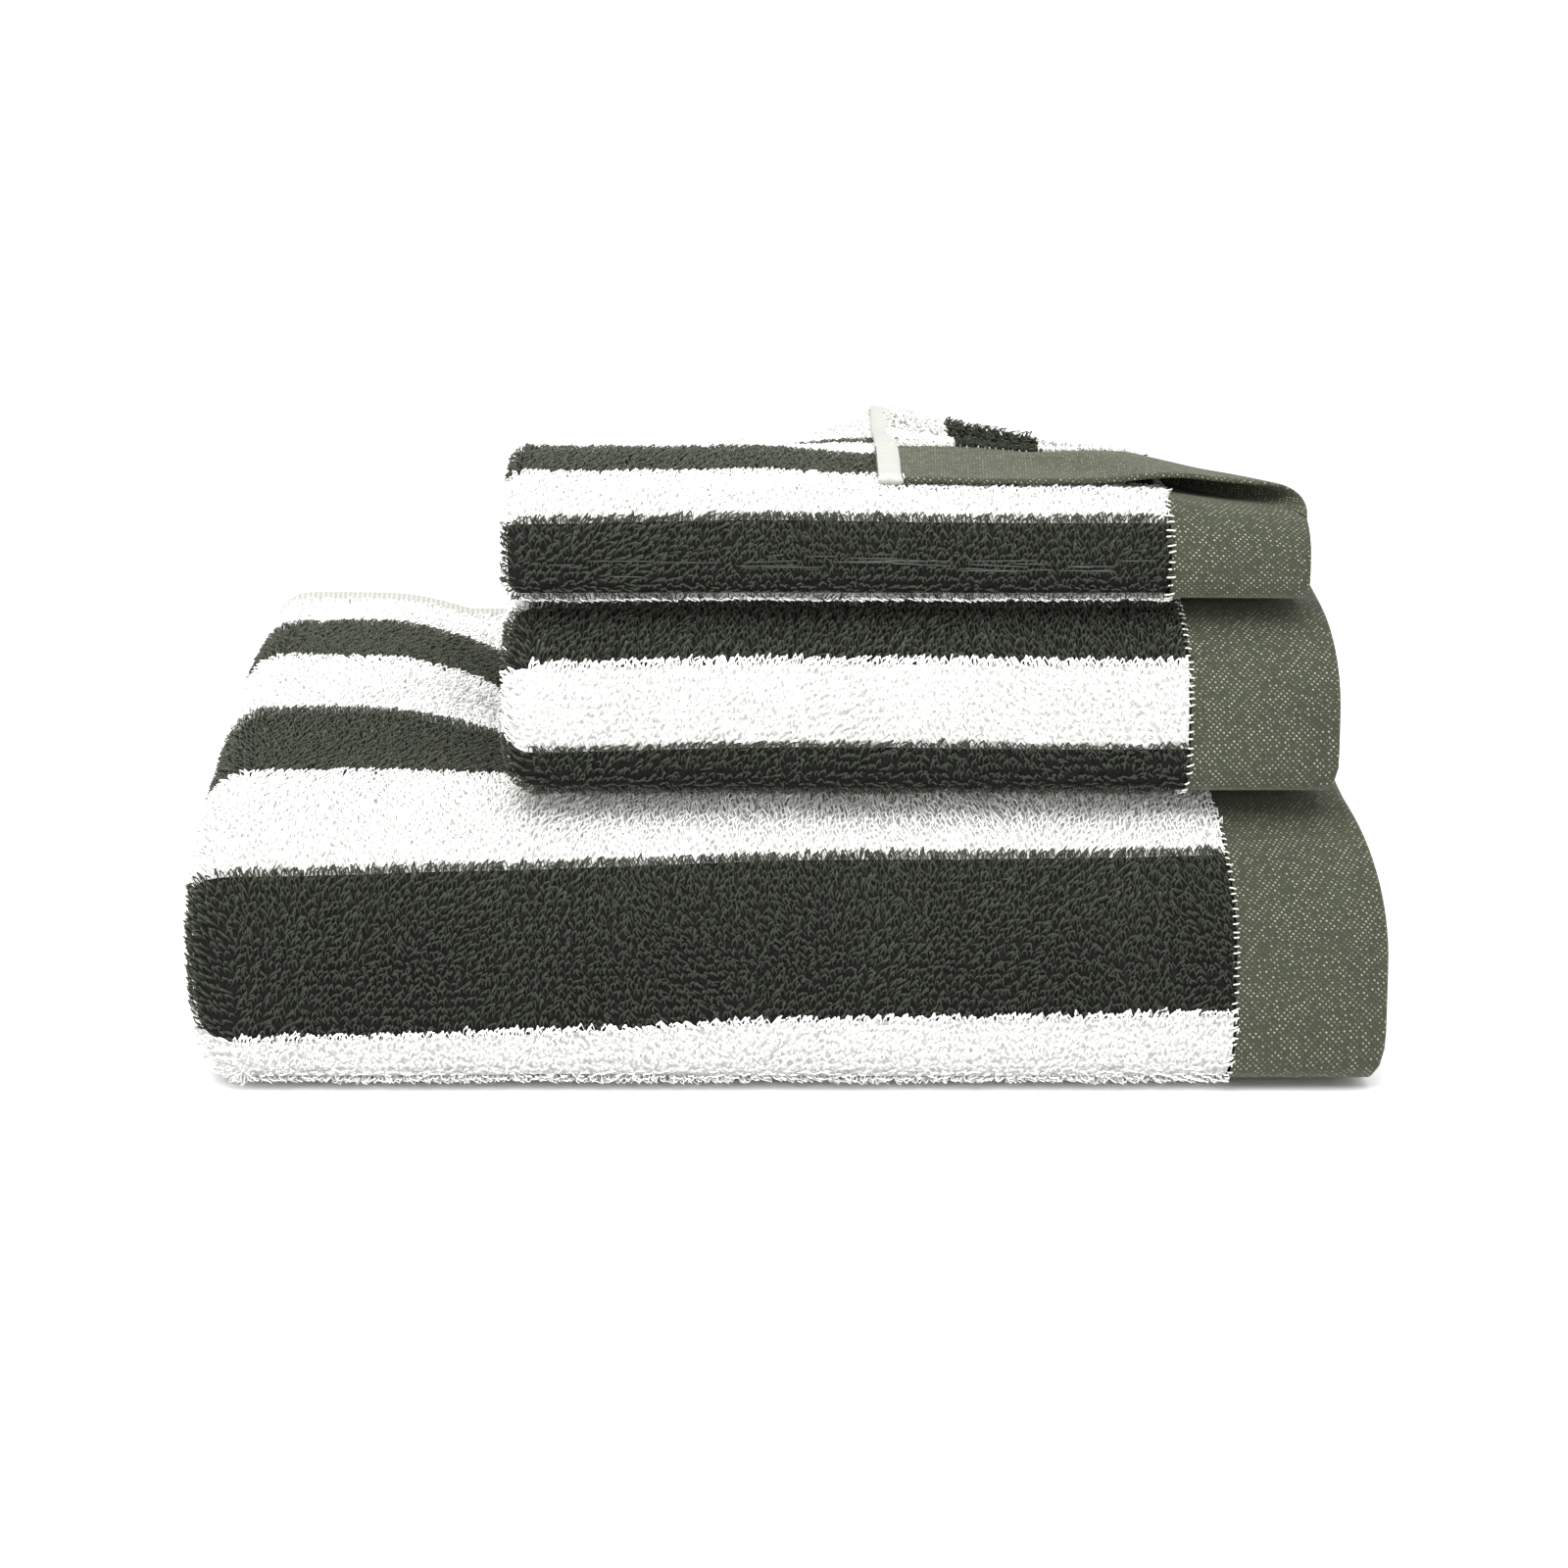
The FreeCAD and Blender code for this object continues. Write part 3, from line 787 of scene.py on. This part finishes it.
def outer_loops(towel):
    """Loops on top, front, a little underneath, and round the back fold."""
    t_end = towel.ends[3]
    x, t = scatter(towel.turn, towel.seam + 0.3 * MM, 0.5 * MM, t_end, PITCH, PITCH, 21)
    edge_x, edge_t = edge_rows(towel, t_end)
    x, t = np.append(x, edge_x), np.append(t, edge_t)
    # the pile underneath is flattened and hidden: only its margins are made
    hidden = (t > towel.ends[1] + 2 * MM) & (t < towel.ends[2] - 6 * MM)
    keep = ~hidden
    if towel is guest:
        keep &= (t > leg) | (x < ply_limit(t) - 0.5 * MM)
    x, t = x[keep], t[keep]
    number = number_of(towel, t)
    frames = frames_on(lambda x, t: cloth_point(towel, x, towel.wrap, t), x, t, 1 * MM, 1 * MM)
    front = ease((t - towel.ends[0] + 0.02) / 0.03)
    heading = 0.55 * ripple(x, t, 31, 0.045) + 0.5 * ripple(x, t, 32, 0.13)
    lean = 0.8 + 0.22 * ripple(x, t, 33, 0.05) + 0.1 * front
    for k in np.unique(number):
        pick = number == k
        dye, yarn = YARNS[k % 2]
        label = "%s_%s_loops_%d" % (towel.name, dye, k - number.min())
        piece = loop_field(label, frames[:, pick], lean[pick], heading[pick], yarn, 100 + k, towel.pile)
        dress(piece, towel.body)
    return len(x)


total = 0
for towel in TOWELS:
    made = outer_loops(towel)
    total += made
    print(towel.name, "outer loops:", made)

# %% [markdown]
# At the left end the cloth turns back on itself, so every third of the letter
# fold ends in a round roll of pile. The roll is the outer wrap of the plies; its
# loops stand straight out of the bend.

# %% Loops round the left fold
def left_wrap(towel):
    """Half circle of the outer wrap: a is the way round it, t the letter fold."""
    w = towel.wrap
    return lambda a, t: cloth_point(towel, towel.turn - w * np.sin(a / w), w * np.cos(a / w), t)


def by_yarn(towel, t):
    """Name, yarn and places of the dark loops and of the white ones, from their t."""
    odd = number_of(towel, t) % 2
    return [(dye, yarn, np.flatnonzero(odd == k)) for k, (dye, yarn) in enumerate(YARNS)]


def left_loops(towel):
    """Loops standing out of the left fold."""
    a, t = scatter(0, math.pi * towel.wrap, 0.5 * MM, towel.length, PITCH * 1.05, PITCH * 1.05, 22)
    frames = frames_on(left_wrap(towel), a, t, 0.5 * MM, 1 * MM, -1)
    heading = 0.6 * ripple(a, t, 41, 0.05)
    lean = 0.6 + 0.2 * ripple(a, t, 42, 0.04)
    for dye, yarn, pick in by_yarn(towel, t):
        piece = loop_field("%s_left_fold_%s_loops" % (towel.name, dye), frames[:, pick], lean[pick],
                           heading[pick], yarn, 200, towel.pile)
        dress(piece, towel.body)
    return len(a)


for towel in TOWELS:
    made = left_loops(towel)
    total += made
    print(towel.name, "left fold loops:", made)
print("loops so far:", total)

# %% [markdown]
# The right-hand ends of the two larger towels show a second fold of terry under
# the borders, where the cloth turns back inside. It is made like the left fold,
# as a half circle carried round the letter fold.

# %% Loops on the inner terry fold and on the ply under the turned corner
def field_by_stripe(name, towel, body, t, frames, lean, heading, seed, height=None, most=15000):
    """Dark and white loop pieces of one region, cut into parts small enough to keep."""
    for dye, yarn, pick in by_yarn(towel, t):
        for k, part in enumerate(np.array_split(pick, max(1, math.ceil(len(pick) / most)))):
            if len(part):
                piece = loop_field("%s_%s_%d" % (name, dye, k), frames[:, part], lean[part],
                                   heading[part], yarn, seed + k, height or towel.pile)
                dress(piece, body)
    return len(t)


def inner_fold_loops(towel):
    """Loops round the half circle of terry inside the right-hand end."""
    r = (towel.wrap - towel.core) / 2
    far = towel.right - 4 * MM - towel.pile - r
    mid = -(towel.wrap + towel.core) / 2
    a, t = scatter(0, math.pi * r, 0.5 * MM, towel.length, PITCH * 1.15, PITCH * 1.15, 23)
    frames = frames_on(
        lambda a, t: cloth_point(towel, far + r * np.sin(a / r), mid - r * np.cos(a / r), t),
        a, t, 0.5 * MM, 1 * MM, -1)
    return field_by_stripe(towel.name + "_inner_fold_loops", towel, towel.body, t, frames,
                           0.6 + 0.2 * ripple(a, t, 43, 0.04), 0.6 * ripple(a, t, 44, 0.05), 300)


def second_ply_loops():
    """The lower ply of the guest towel, bared where the corner is turned back."""
    x, t = scatter(crease_x - 4 * MM, guest.seam, 0.5 * MM, leg, PITCH, PITCH, 24)
    keep = x > crease_x + t - 5 * MM
    x, t = x[keep], t[keep]
    frames = frames_on(lambda x, t: cloth_point(guest, x, -guest.wrap, t), x, t, 1 * MM, 1 * MM)
    return field_by_stripe("guest_second_ply_loops", guest, guest.body, t, frames,
                           0.8 + 0.2 * ripple(x, t, 45, 0.05), 0.6 * ripple(x, t, 46, 0.05), 340)


for towel in (bath, hand):
    made = inner_fold_loops(towel)
    total += made
    print(towel.name, "inner fold loops:", made)
total += second_ply_loops()
print("loops so far:", total)

# %% [markdown]
# The guest towel's back corner is turned up and over towards the front, so that
# the inside of its top ply lies upwards. The cloth doesn't crease sharply: it
# goes over in a round roll along the diagonal, and its free part comes down on
# the towel a little way from the roll. The roll is a piece of its own; the free
# part moves as one.

# %% Shape of the turned corner
def roll_point(xc, turn, off):
    """Roll along the crease; xc is the cloth's own x, turn runs 0..pi over the top.

    s is the way along the crease and d the distance from it: the circle of
    radius rho touches the ply at turn 0 and the free part at turn pi. Crossing
    s and d at 45 degrees gives x and the path length t.
    """
    r = rho(xc)
    s = (xc - crease_x) * ROOT2 - r * (2 * turn / math.pi - 1)
    d = r - (r + off) * np.sin(turn)
    h = r - (r + off) * np.cos(turn)
    return cloth_point(guest, crease_x + (s - d) / ROOT2, guest.wrap + h, (s + d) / ROOT2)


def free_height(xc, d):
    """Height of the free part over the ply: high at the roll, resting further on."""
    border = ease((xc - guest.seam + 0.006) / 0.02)
    rest = 4.1 * MM - 0.9 * MM * border
    run = 20 * MM + 18 * MM * border
    r = rho(xc)
    fall = ease((d - r) / run)
    swell = 1.2 * MM * border * np.sin(math.pi * np.clip((d - r) / run, 0, 1)) ** 2
    return 2 * r + (rest - 2 * r) * fall + swell


def free_point(xc, to, off):
    """Free part of the corner: xc becomes the path length, to becomes x."""
    t = xc - crease_x
    d = (t - to) / ROOT2
    return cloth_point(guest, crease_x + to, guest.wrap + free_height(xc, d) + off, t)


def free_limit(xc):
    """Length of the free part from the old side hem to the roll."""
    return np.maximum(xc - crease_x - rho(xc) * ROOT2, 0)


def corner_sheet(name, xc, off, material, steps=30):
    """Free part as a grid from the old side hem to the roll."""
    share = np.linspace(0, 1, steps)
    XC, S = np.meshgrid(xc, share)
    OFF = np.meshgrid(off, share)[0]
    TO = S * free_limit(XC)
    points = free_point(XC, TO, OFF)
    R = np.meshgrid(length_along(xc, off), share)[0]
    second = TO if material is border_twill else stripe_of(guest, TO)
    piece = grid_piece(name, points, np.stack([R, second], -1), material)
    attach(piece, "turned_corner")
    return piece


def corner_roll(name, xc, off, material, steps=13):
    """Roll as a grid from the ply to the free part; it bends with the crease."""
    turn = np.linspace(0, math.pi, steps)
    XC, A = np.meshgrid(xc, turn)
    OFF = np.meshgrid(off, turn)[0]
    if material is ground_cloth:
        # the hem's end of the roll slants, so that it keeps to the cloth
        first = crease_x + rho(crease_x) / ROOT2 * (2 * A / math.pi - 1)
        XC = first + (XC - xc[0]) / (xc[-1] - xc[0]) * (xc[-1] - first)
    points = roll_point(XC, A, OFF)
    R = np.meshgrid(length_along(xc, off), turn)[0]
    T = XC - crease_x - rho(XC) / ROOT2 * (2 * A / math.pi - 1)
    if material is border_twill:
        # weave laid out by the way along the crease and the way over the roll
        along, over = (XC - crease_x) * ROOT2 - rho(XC) * (2 * A / math.pi - 1), rho(XC) * A
        uv = np.stack([(along + over) / ROOT2, (along - over) / ROOT2], -1)
    else:
        uv = np.stack([R, stripe_of(guest, T)], -1)
    return grid_piece(name, points, uv, material)


round_r = THICK["guest"] / 2
arc = np.linspace(0, math.pi, 9)[1:-1]
terry_x = np.linspace(crease_x + rho(crease_x) * ROOT2, guest.seam, 34)
roll_x = np.linspace(crease_x - rho(crease_x) / ROOT2 + 0.2 * MM, guest.seam, 40)
edge_x = guest.right - round_r
face_x = np.linspace(guest.seam + GAP, edge_x, 18)
strip_x = np.concatenate([face_x, edge_x + round_r * np.sin(arc), face_x[::-1]])
strip_off = np.concatenate([np.full(18, round_r), round_r * np.cos(arc), np.full(18, -round_r)])

corner_cloth = corner_sheet("corner_cloth", terry_x, 0 * terry_x, ground_cloth)
corner_strip = corner_sheet("corner_twill_border", strip_x, strip_off, border_twill)
cloth_roll = corner_roll("corner_cloth_roll", roll_x, 0 * roll_x, ground_cloth)
strip_roll = corner_roll("corner_twill_roll", strip_x, strip_off, border_twill)
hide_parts("corner_terry")
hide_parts("corner_border")
print("corner pieces:", [len(p.data.polygons) for p in (corner_cloth, corner_strip, cloth_roll, strip_roll)])

# %% [markdown]
# Both faces of terry have loops, so the turned-up inside has them too. The
# stripes run the other way here, because the corner has been turned over.

# %% Loops on the turned corner and its roll
def free_places(start, pitch, seed, side):
    """Places on the free part, from start to the roll, with their frames."""
    xc, to = scatter(crease_x, guest.seam + 0.3 * MM, start, guest.seam - crease_x, pitch, pitch, seed)
    keep = to < free_limit(xc)
    xc, to = xc[keep], to[keep]
    return xc, to, frames_on(lambda a, b: free_point(a, b, 0.0), xc, to, 1 * MM, 1 * MM, side)


def free_loops():
    """Loops standing on the turned-up face."""
    xc, to, frames = free_places(5.5 * MM, PITCH, 25, -1)
    return field_by_stripe("corner_loops", guest, "turned_corner", to, frames,
                           0.8 + 0.2 * ripple(xc, to, 51, 0.05),
                           0.6 * ripple(xc, to, 52, 0.05) + 1.2, 360)


def underside_loops():
    """Loops under the free part, pressed flat between it and the towel."""
    xc, to, frames = free_places(2.0 * MM, PITCH * 1.1, 27, 1)
    return field_by_stripe("corner_under_loops", guest, "turned_corner", to, frames,
                           np.full(len(xc), 0.75), 0.6 * ripple(xc, to, 53, 0.05), 370, 1.9 * MM)


def roll_loops(label, side, height, seed):
    """Loops on one face of the roll: side 1 stands out of it, side -1 into it."""
    first = crease_x - rho(crease_x) / ROOT2
    xc, a = scatter(first, guest.seam, 0.15, math.pi, PITCH, PITCH / rho(guest.seam), seed)
    frames = frames_on(lambda p, q: roll_point(p, q, 0.0), xc, a, 1 * MM, 0.05, side)
    to = xc - crease_x - rho(xc) / ROOT2 * (2 * a / math.pi - 1)
    frames, to = frames[:, to > 0], to[to > 0]
    return [loop_field("corner_roll_%s_%s_loops" % (label, dye), frames[:, pick],
                       np.full(len(pick), 0.5), np.zeros(len(pick)), yarn, seed, height)
            for dye, yarn, pick in by_yarn(guest, to)]


total += free_loops() + underside_loops()
roll_piles = roll_loops("outer", 1, guest.pile, 26) + roll_loops("inner", -1, 1.6 * MM, 27)
print("loops in all:", total + sum(len(p.data.vertices) // 12 for p in roll_piles))


def bend_ends():
    """Two points across the roll's mean slope.

    The roll's middle line falls by slope along the crease, so the line between
    the points runs along the normal of that slope, from the highest point of the
    roll's lower edge to the lowest point of its upper edge.
    """
    probe = np.linspace(crease_x, guest.right, 30)
    lower = roll_point(probe, np.zeros(30), 0.0)
    upper = roll_point(probe, np.full(30, math.pi), 0.0)
    middle = (lower + upper) / 2
    slope = np.polyfit((middle[:, 0] - middle[:, 1]) / ROOT2, middle[:, 2], 1)[0]
    normal = np.array([-slope / ROOT2, slope / ROOT2, 1.0])
    normal /= np.linalg.norm(normal)
    centre = middle.mean(0)
    start, end = (lower - centre) @ normal, (upper - centre) @ normal
    return centre + normal * start.max(), centre + normal * end.min()


bend_from, bend_to = bend_ends()
for piece in (cloth_roll, strip_roll, *roll_piles):
    tuple(bend_from)
    tuple(bend_to)
    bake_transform(piece)
print("roll bends between", bend_from.round(4), "and", bend_to.round(4))

# %% [markdown]
# The border is sewn on with cream thread whose stitches lie across the join like
# the rungs of a ladder. A texture line would look printed, so every stitch is a
# short bent tube lying over the step between pile and twill.

# %% Ladder stitches
def threads(name, a, b, up, rise, radius, material, sides=5):
    """Short bent tubes from points a to b, arched by rise along up."""
    share = np.array([0.0, 0.12, 0.5, 0.88, 1.0])
    arch = np.array([-0.35, 0.55, 1.0, 0.55, -0.35]) * rise
    girth = np.array([0.35, 0.95, 1.0, 0.95, 0.35]) * radius
    side = unit(np.cross(unit(b - a), up))
    centre = a[:, None] + (b - a)[:, None] * share[None, :, None] + up[:, None] * arch[None, :, None]
    angle = np.linspace(0, 2 * math.pi, sides, endpoint=False)
    ring = (side[:, None, None] * np.cos(angle)[None, None, :, None]
            + up[:, None, None] * np.sin(angle)[None, None, :, None]) * girth[None, :, None, None]
    points = (centre[:, :, None] + ring).reshape(-1, 3)
    k = np.arange(5 * sides).reshape(5, sides)
    nxt = np.roll(k, -1, axis=1)
    quads = np.stack([k[:-1], nxt[:-1], nxt[1:], k[1:]], -1).reshape(-1, 4)
    faces = quads[None] + 5 * sides * np.arange(len(a))[:, None, None]
    return mesh_piece(name, points, faces.reshape(-1, 4), None, material)


def seam_threads(name, surface, x, t_low, t_high, pitch, length, seed):
    """Rungs along a seam on surface(x, t), with a little unevenness."""
    rng = np.random.default_rng(seed)
    t = np.arange(t_low, t_high, pitch)
    t = t + rng.normal(0, 0.12 * pitch, len(t))
    x0 = x - length * (0.55 + 0.1 * rng.normal(0, 1, len(t)))
    x1 = x + length * (0.45 + 0.1 * rng.normal(0, 1, len(t)))
    a, b = surface(x0, t), surface(x1, t + rng.normal(0, 0.1 * pitch, len(t)))
    n = frames_on(surface, 0 * t + x, t, 0.6 * MM, 0.8 * MM)[3]
    return threads(name, a, b, n, 0.25 * MM, 0.26 * MM, seam_thread)


def seam_surface(towel, face, over):
    """Face of the border, rising by over onto the pile beside the seam."""
    def surface(x, t):
        rise = over * ease((towel.seam + 0.7 * MM - x) / (2.2 * MM))
        return cloth_point(towel, x, face + 0.2 * MM + rise, t)
    return surface


for towel in TOWELS:
    length = (2.6 if towel is guest else 1.9) * MM
    for ply, label, over, pitch in ((0, "outer", 0.9 * MM, 1.55 * MM), (1, "inner", 0.0, 3.0 * MM)):
        low = 0.5 * MM
        if towel is guest and ply == 0:
            low = guest.seam - crease_x + rho(guest.seam) * ROOT2
        surface = seam_surface(towel, border_face(towel, ply), over)
        piece = seam_threads("%s_%s_stitches" % (towel.name, label), surface, towel.seam + GAP,
                             low, towel.length, pitch, length, 400 + ply)
        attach(piece, towel.body)
        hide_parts("%s_%s_border_seam" % (towel.name, label))
corner_stitches = seam_threads("corner_stitches", lambda x, t: free_point(x, t, round_r + 0.2 * MM),
                               guest.seam + GAP, 0.5 * MM, float(free_limit(guest.seam)), 1.7 * MM,
                               2.6 * MM, 410)
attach(corner_stitches, "turned_corner")
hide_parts("corner_border_seam")
print("corner stitches:", len(corner_stitches.data.vertices) // 25)

# %% [markdown]
# Along one line on the front of the guest towel the pile parts and the pale
# threads of the ground cloth show through. They are long thin threads lying
# between the loops.

# %% Ground threads showing in the parted pile
def parted_threads(count=30, crowded=20):
    """Single threads of uneven length, lying along x in the parted line."""
    rng = np.random.default_rng(77)
    x0 = rng.uniform(-0.070, 0.095, count)
    x0[:crowded] = rng.uniform(0.012, 0.100, crowded)
    x1 = np.minimum(x0 + rng.uniform(0.005, 0.022, count), guest.seam - 3 * MM)
    parting = guest.ends[0] + 0.575 * guest.runs[1]
    t = np.full(count, parting) + rng.normal(0, 0.8, count) * MM
    w = guest.pack / 2 - rng.uniform(1.0, 1.6, count) * MM
    a = cloth_point(guest, x0, w, t)
    b = cloth_point(guest, x1, w, t + rng.normal(0, 0.3, count) * MM)
    up = np.tile([0.0, -1.0, 0.05], (count, 1))
    return threads("guest_ground_threads", a, b, up, 0.15 * MM, 0.12 * MM,
                   thread_material("grey_ground_thread", (0.075, 0.082, 0.07)))


parted = parted_threads()
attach(parted, guest.body)

# %% [markdown]
# The long sides of a towel are hemmed: a narrow pale edge is turned under and
# stitched. At the back of each pack the hems of all its plies lie one above the
# other. The hem is drawn as a flattened tube carried along the way of the plies.

# %% Side hems
def hem_material(name, colour):
    """Pale hem weave: fine cross ribs from the UV map."""
    material, tree, shader = new_material(name, 0.9, 0.1)
    rib = node(tree, "ShaderNodeTexWave", Vector=cloth_map(tree), Scale=190.0, Distortion=1.5, Detail=2.0)
    rib.inputs["Detail Scale"].default_value = 3.0
    shade = blend_colours(tree, rib.outputs["Fac"], tuple(0.72 * c for c in colour), colour)
    tree.links.new(shade, shader.inputs["Base Color"])
    bump = node(tree, "ShaderNodeBump", Height=rib.outputs["Fac"], Strength=0.5, Distance=0.0003)
    tree.links.new(bump.outputs[0], shader.inputs["Normal"])
    return material


hem_weave = hem_material("pale_hem_weave", (0.44, 0.445, 0.41))
HEM_HALF = {"bath": (3.4, 2.5), "hand": (3.0, 1.9), "guest": (2.6, 1.7)}     # mm along t and w


def hem_tube(name, points_at, run, t_mid, half_t, half_w):
    """Flattened tube: a superellipse carried along the cloth's edge.

    points_at(t, out) gives its points, one row for each step of the edge. The
    ring is half_t |cos|^0.7 along t and half_w |sin|^0.7 off the cloth.
    """
    angle = np.linspace(0, 2 * math.pi, 17)
    c, s = np.cos(angle), np.sin(angle)
    dt = half_t * np.sign(c) * np.abs(c) ** 0.7
    dw = half_w * np.sign(s) * np.abs(s) ** 0.7
    points = points_at(t_mid + dt, dw)
    U, V = np.meshgrid(length_along(dt, dw), run)
    return grid_piece(name, points, np.stack([V, U], -1), hem_weave)


def towel_hem(towel, inner):
    """Hem of every ply at the outer or the inner end of the letter fold."""
    label = "inner" if inner else "outer"
    x, w, run = ply_path(towel)
    if towel is guest and not inner:
        x = np.where(run < guest.seam - guest.turn, np.minimum(x, ply_limit(0.0)), x)
    # way of the plies and its normal in the plane of x and w
    dx, dw = np.gradient(x, run), np.gradient(w, run)
    size = np.hypot(dx, dw) + 1e-9
    step = 2 if inner else 1
    x, w, nx, nw, run = (v[::step] for v in (x, w, dw / size, -dx / size, run))
    half_t, half_w = (v * MM for v in HEM_HALF[towel.name])
    t_mid = towel.length - half_t if inner else half_t

    def points_at(t, out):
        X = x[:, None] + nx[:, None] * out[None, :]
        W = w[:, None] + nw[:, None] * out[None, :]
        return cloth_point(towel, X, W, 0 * X + t[None, :])

    piece = hem_tube("%s_%s_hem" % (towel.name, label), points_at, run, t_mid, half_t, half_w)
    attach(piece, towel.body)
    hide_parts("%s_%s_side_hem" % (towel.name, label))
    float(length_along(x, w)[-1])
    return piece


for towel in TOWELS:
    for inner in (False, True):
        piece = towel_hem(towel, inner)
        print(piece.name, len(piece.data.polygons), "faces")


def corner_hem():
    """Hem along the free left edge of the turned corner."""
    xc = np.linspace(crease_x + rho(crease_x) * ROOT2, guest.right + 0.3 * MM, 60)
    xc = np.append(xc, guest.right + 0.5 * MM)
    closing = np.append(np.ones(60), 0.0)[:, None]      # the front end is pinched shut

    def points_at(to, out):
        X = xc[:, None] + 0 * to[None, :]
        inside = np.minimum(to[None, :] + 0 * X, free_limit(X) + 0.5 * MM)
        return free_point(X, inside, out[None, :] * closing)

    piece = hem_tube("corner_hem", points_at, xc, 3.7 * MM, 3.8 * MM, 1.35 * MM)
    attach(piece, "turned_corner")
    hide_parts("corner_side_hem")
    return piece


def corner_hem_stitches():
    """A few small stitches that close the end of that hem at the front edge."""
    to = np.arange(0.9, 7.6, 0.95) * MM
    a = free_point(0 * to + guest.right - 1.8 * MM, to, 1.5 * MM)
    b = free_point(0 * to + guest.right + 0.5 * MM, to + 0.3 * MM, 0.7 * MM)
    up = np.tile([0.0, -0.2, 0.98], (len(to), 1))
    return threads("corner_hem_stitches", a, b, up, 0.3 * MM, 0.24 * MM, seam_thread)


print(corner_hem().name, "made")
hem_end = corner_hem_stitches()
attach(hem_end, "turned_corner")
over = 11.5 * MM                                        # half way round the roll

# %% [markdown]
# Floor and light: a plain pale sweep and broad soft light from above, so that the
# tops are bright and the undersides of the folds fall away into shade.

# %% Floor, light and camera
def plain_material(name, colour):
    """Matt colour with a trace of slow noise."""
    material, tree, shader = new_material(name, 0.9)
    haze = node(tree, "ShaderNodeTexNoise", Vector=places(tree), Scale=2.0)
    tint = blend_colours(tree, haze.outputs[0], tuple(0.99 * c for c in colour), colour)
    tree.links.new(tint, shader.inputs["Base Color"])
    return material


def make_floor():
    """A flat floor that curves up behind, by a quarter circle, into a backdrop."""
    s = np.linspace(0, 1, 60)
    turn = np.clip((s - 0.6) / 0.2, 0, 1) * math.pi / 2
    y = np.where(s < 0.6, -4 + s / 0.6 * 8, 4 + 1.2 * np.sin(turn))
    z = 1.2 * (1 - np.cos(turn)) + np.clip((s - 0.8) / 0.2, 0, 1) * 4
    across = np.linspace(-5, 5, 12)
    X, Y = np.meshgrid(across, y)
    Z = np.meshgrid(across, z)[1]
    points = np.stack([X, Y, Z - 0.4 * MM], -1)
    pale = plain_material("pale_floor", (0.92, 0.92, 0.92))
    piece = grid_piece("floor_sweep", points, points[..., :2], pale)
    piece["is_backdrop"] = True
    return piece


def soft_light(name, place, target, size, watts):
    """A broad rectangular lamp at place, turned towards target."""
    data = bpy.data.lights.new(name, "AREA")
    data.shape, data.size, data.size_y = "RECTANGLE", size[0], size[1]
    data.energy = watts
    lamp = bpy.data.objects.new(name, data)
    bpy.context.scene.collection.objects.link(lamp)
    lamp.location = place
    lamp.rotation_euler = (Vector(target) - Vector(place)).to_track_quat("-Z", "Y").to_euler()
    return lamp


print(make_floor().name, "made")
soft_light("overhead", (-0.15, -1.0, 1.45), (0, 0, 0.1), (1.6, 1.2), 42)
soft_light("front_fill", (0.2, -2.1, 0.4), (0, 0, 0.06), (1.8, 0.8), 9.5)
world = bpy.data.worlds.new("studio")
bpy.context.scene.world = world
world.use_nodes = True
sky = world.node_tree.nodes["Background"]
sky.inputs["Color"].default_value = (1, 1, 1, 1)
sky.inputs["Strength"].default_value = 1.05
bpy.context.scene.view_settings.view_transform = "Standard"
bpy.context.scene.view_settings.exposure = 0.08

# the camera stands 1.35 m before the stack and 0.43 m up, looking a little down
camera_data = bpy.data.cameras.new("camera")
camera_data.lens = 110.2
camera_data.sensor_width = 36
camera = bpy.data.objects.new("camera", camera_data)
bpy.context.scene.collection.objects.link(camera)
camera.location = (0, bath.front - 1.353, 0.429)
camera.rotation_euler = (math.radians(90 - 13.85), 0, 0)
bpy.context.scene.camera = camera

# %% [markdown]
# Last, the faces of all shown pieces are counted. Each towel is cloth folded in
# the hand, laid down and left, so it is held by its own folds.

for towel in TOWELS:
    piece, wide, long = grounds[towel.name]
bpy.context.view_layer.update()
faces = sum(len(p.data.polygons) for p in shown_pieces() if p.type == "MESH")
print("faces in all:", faces)
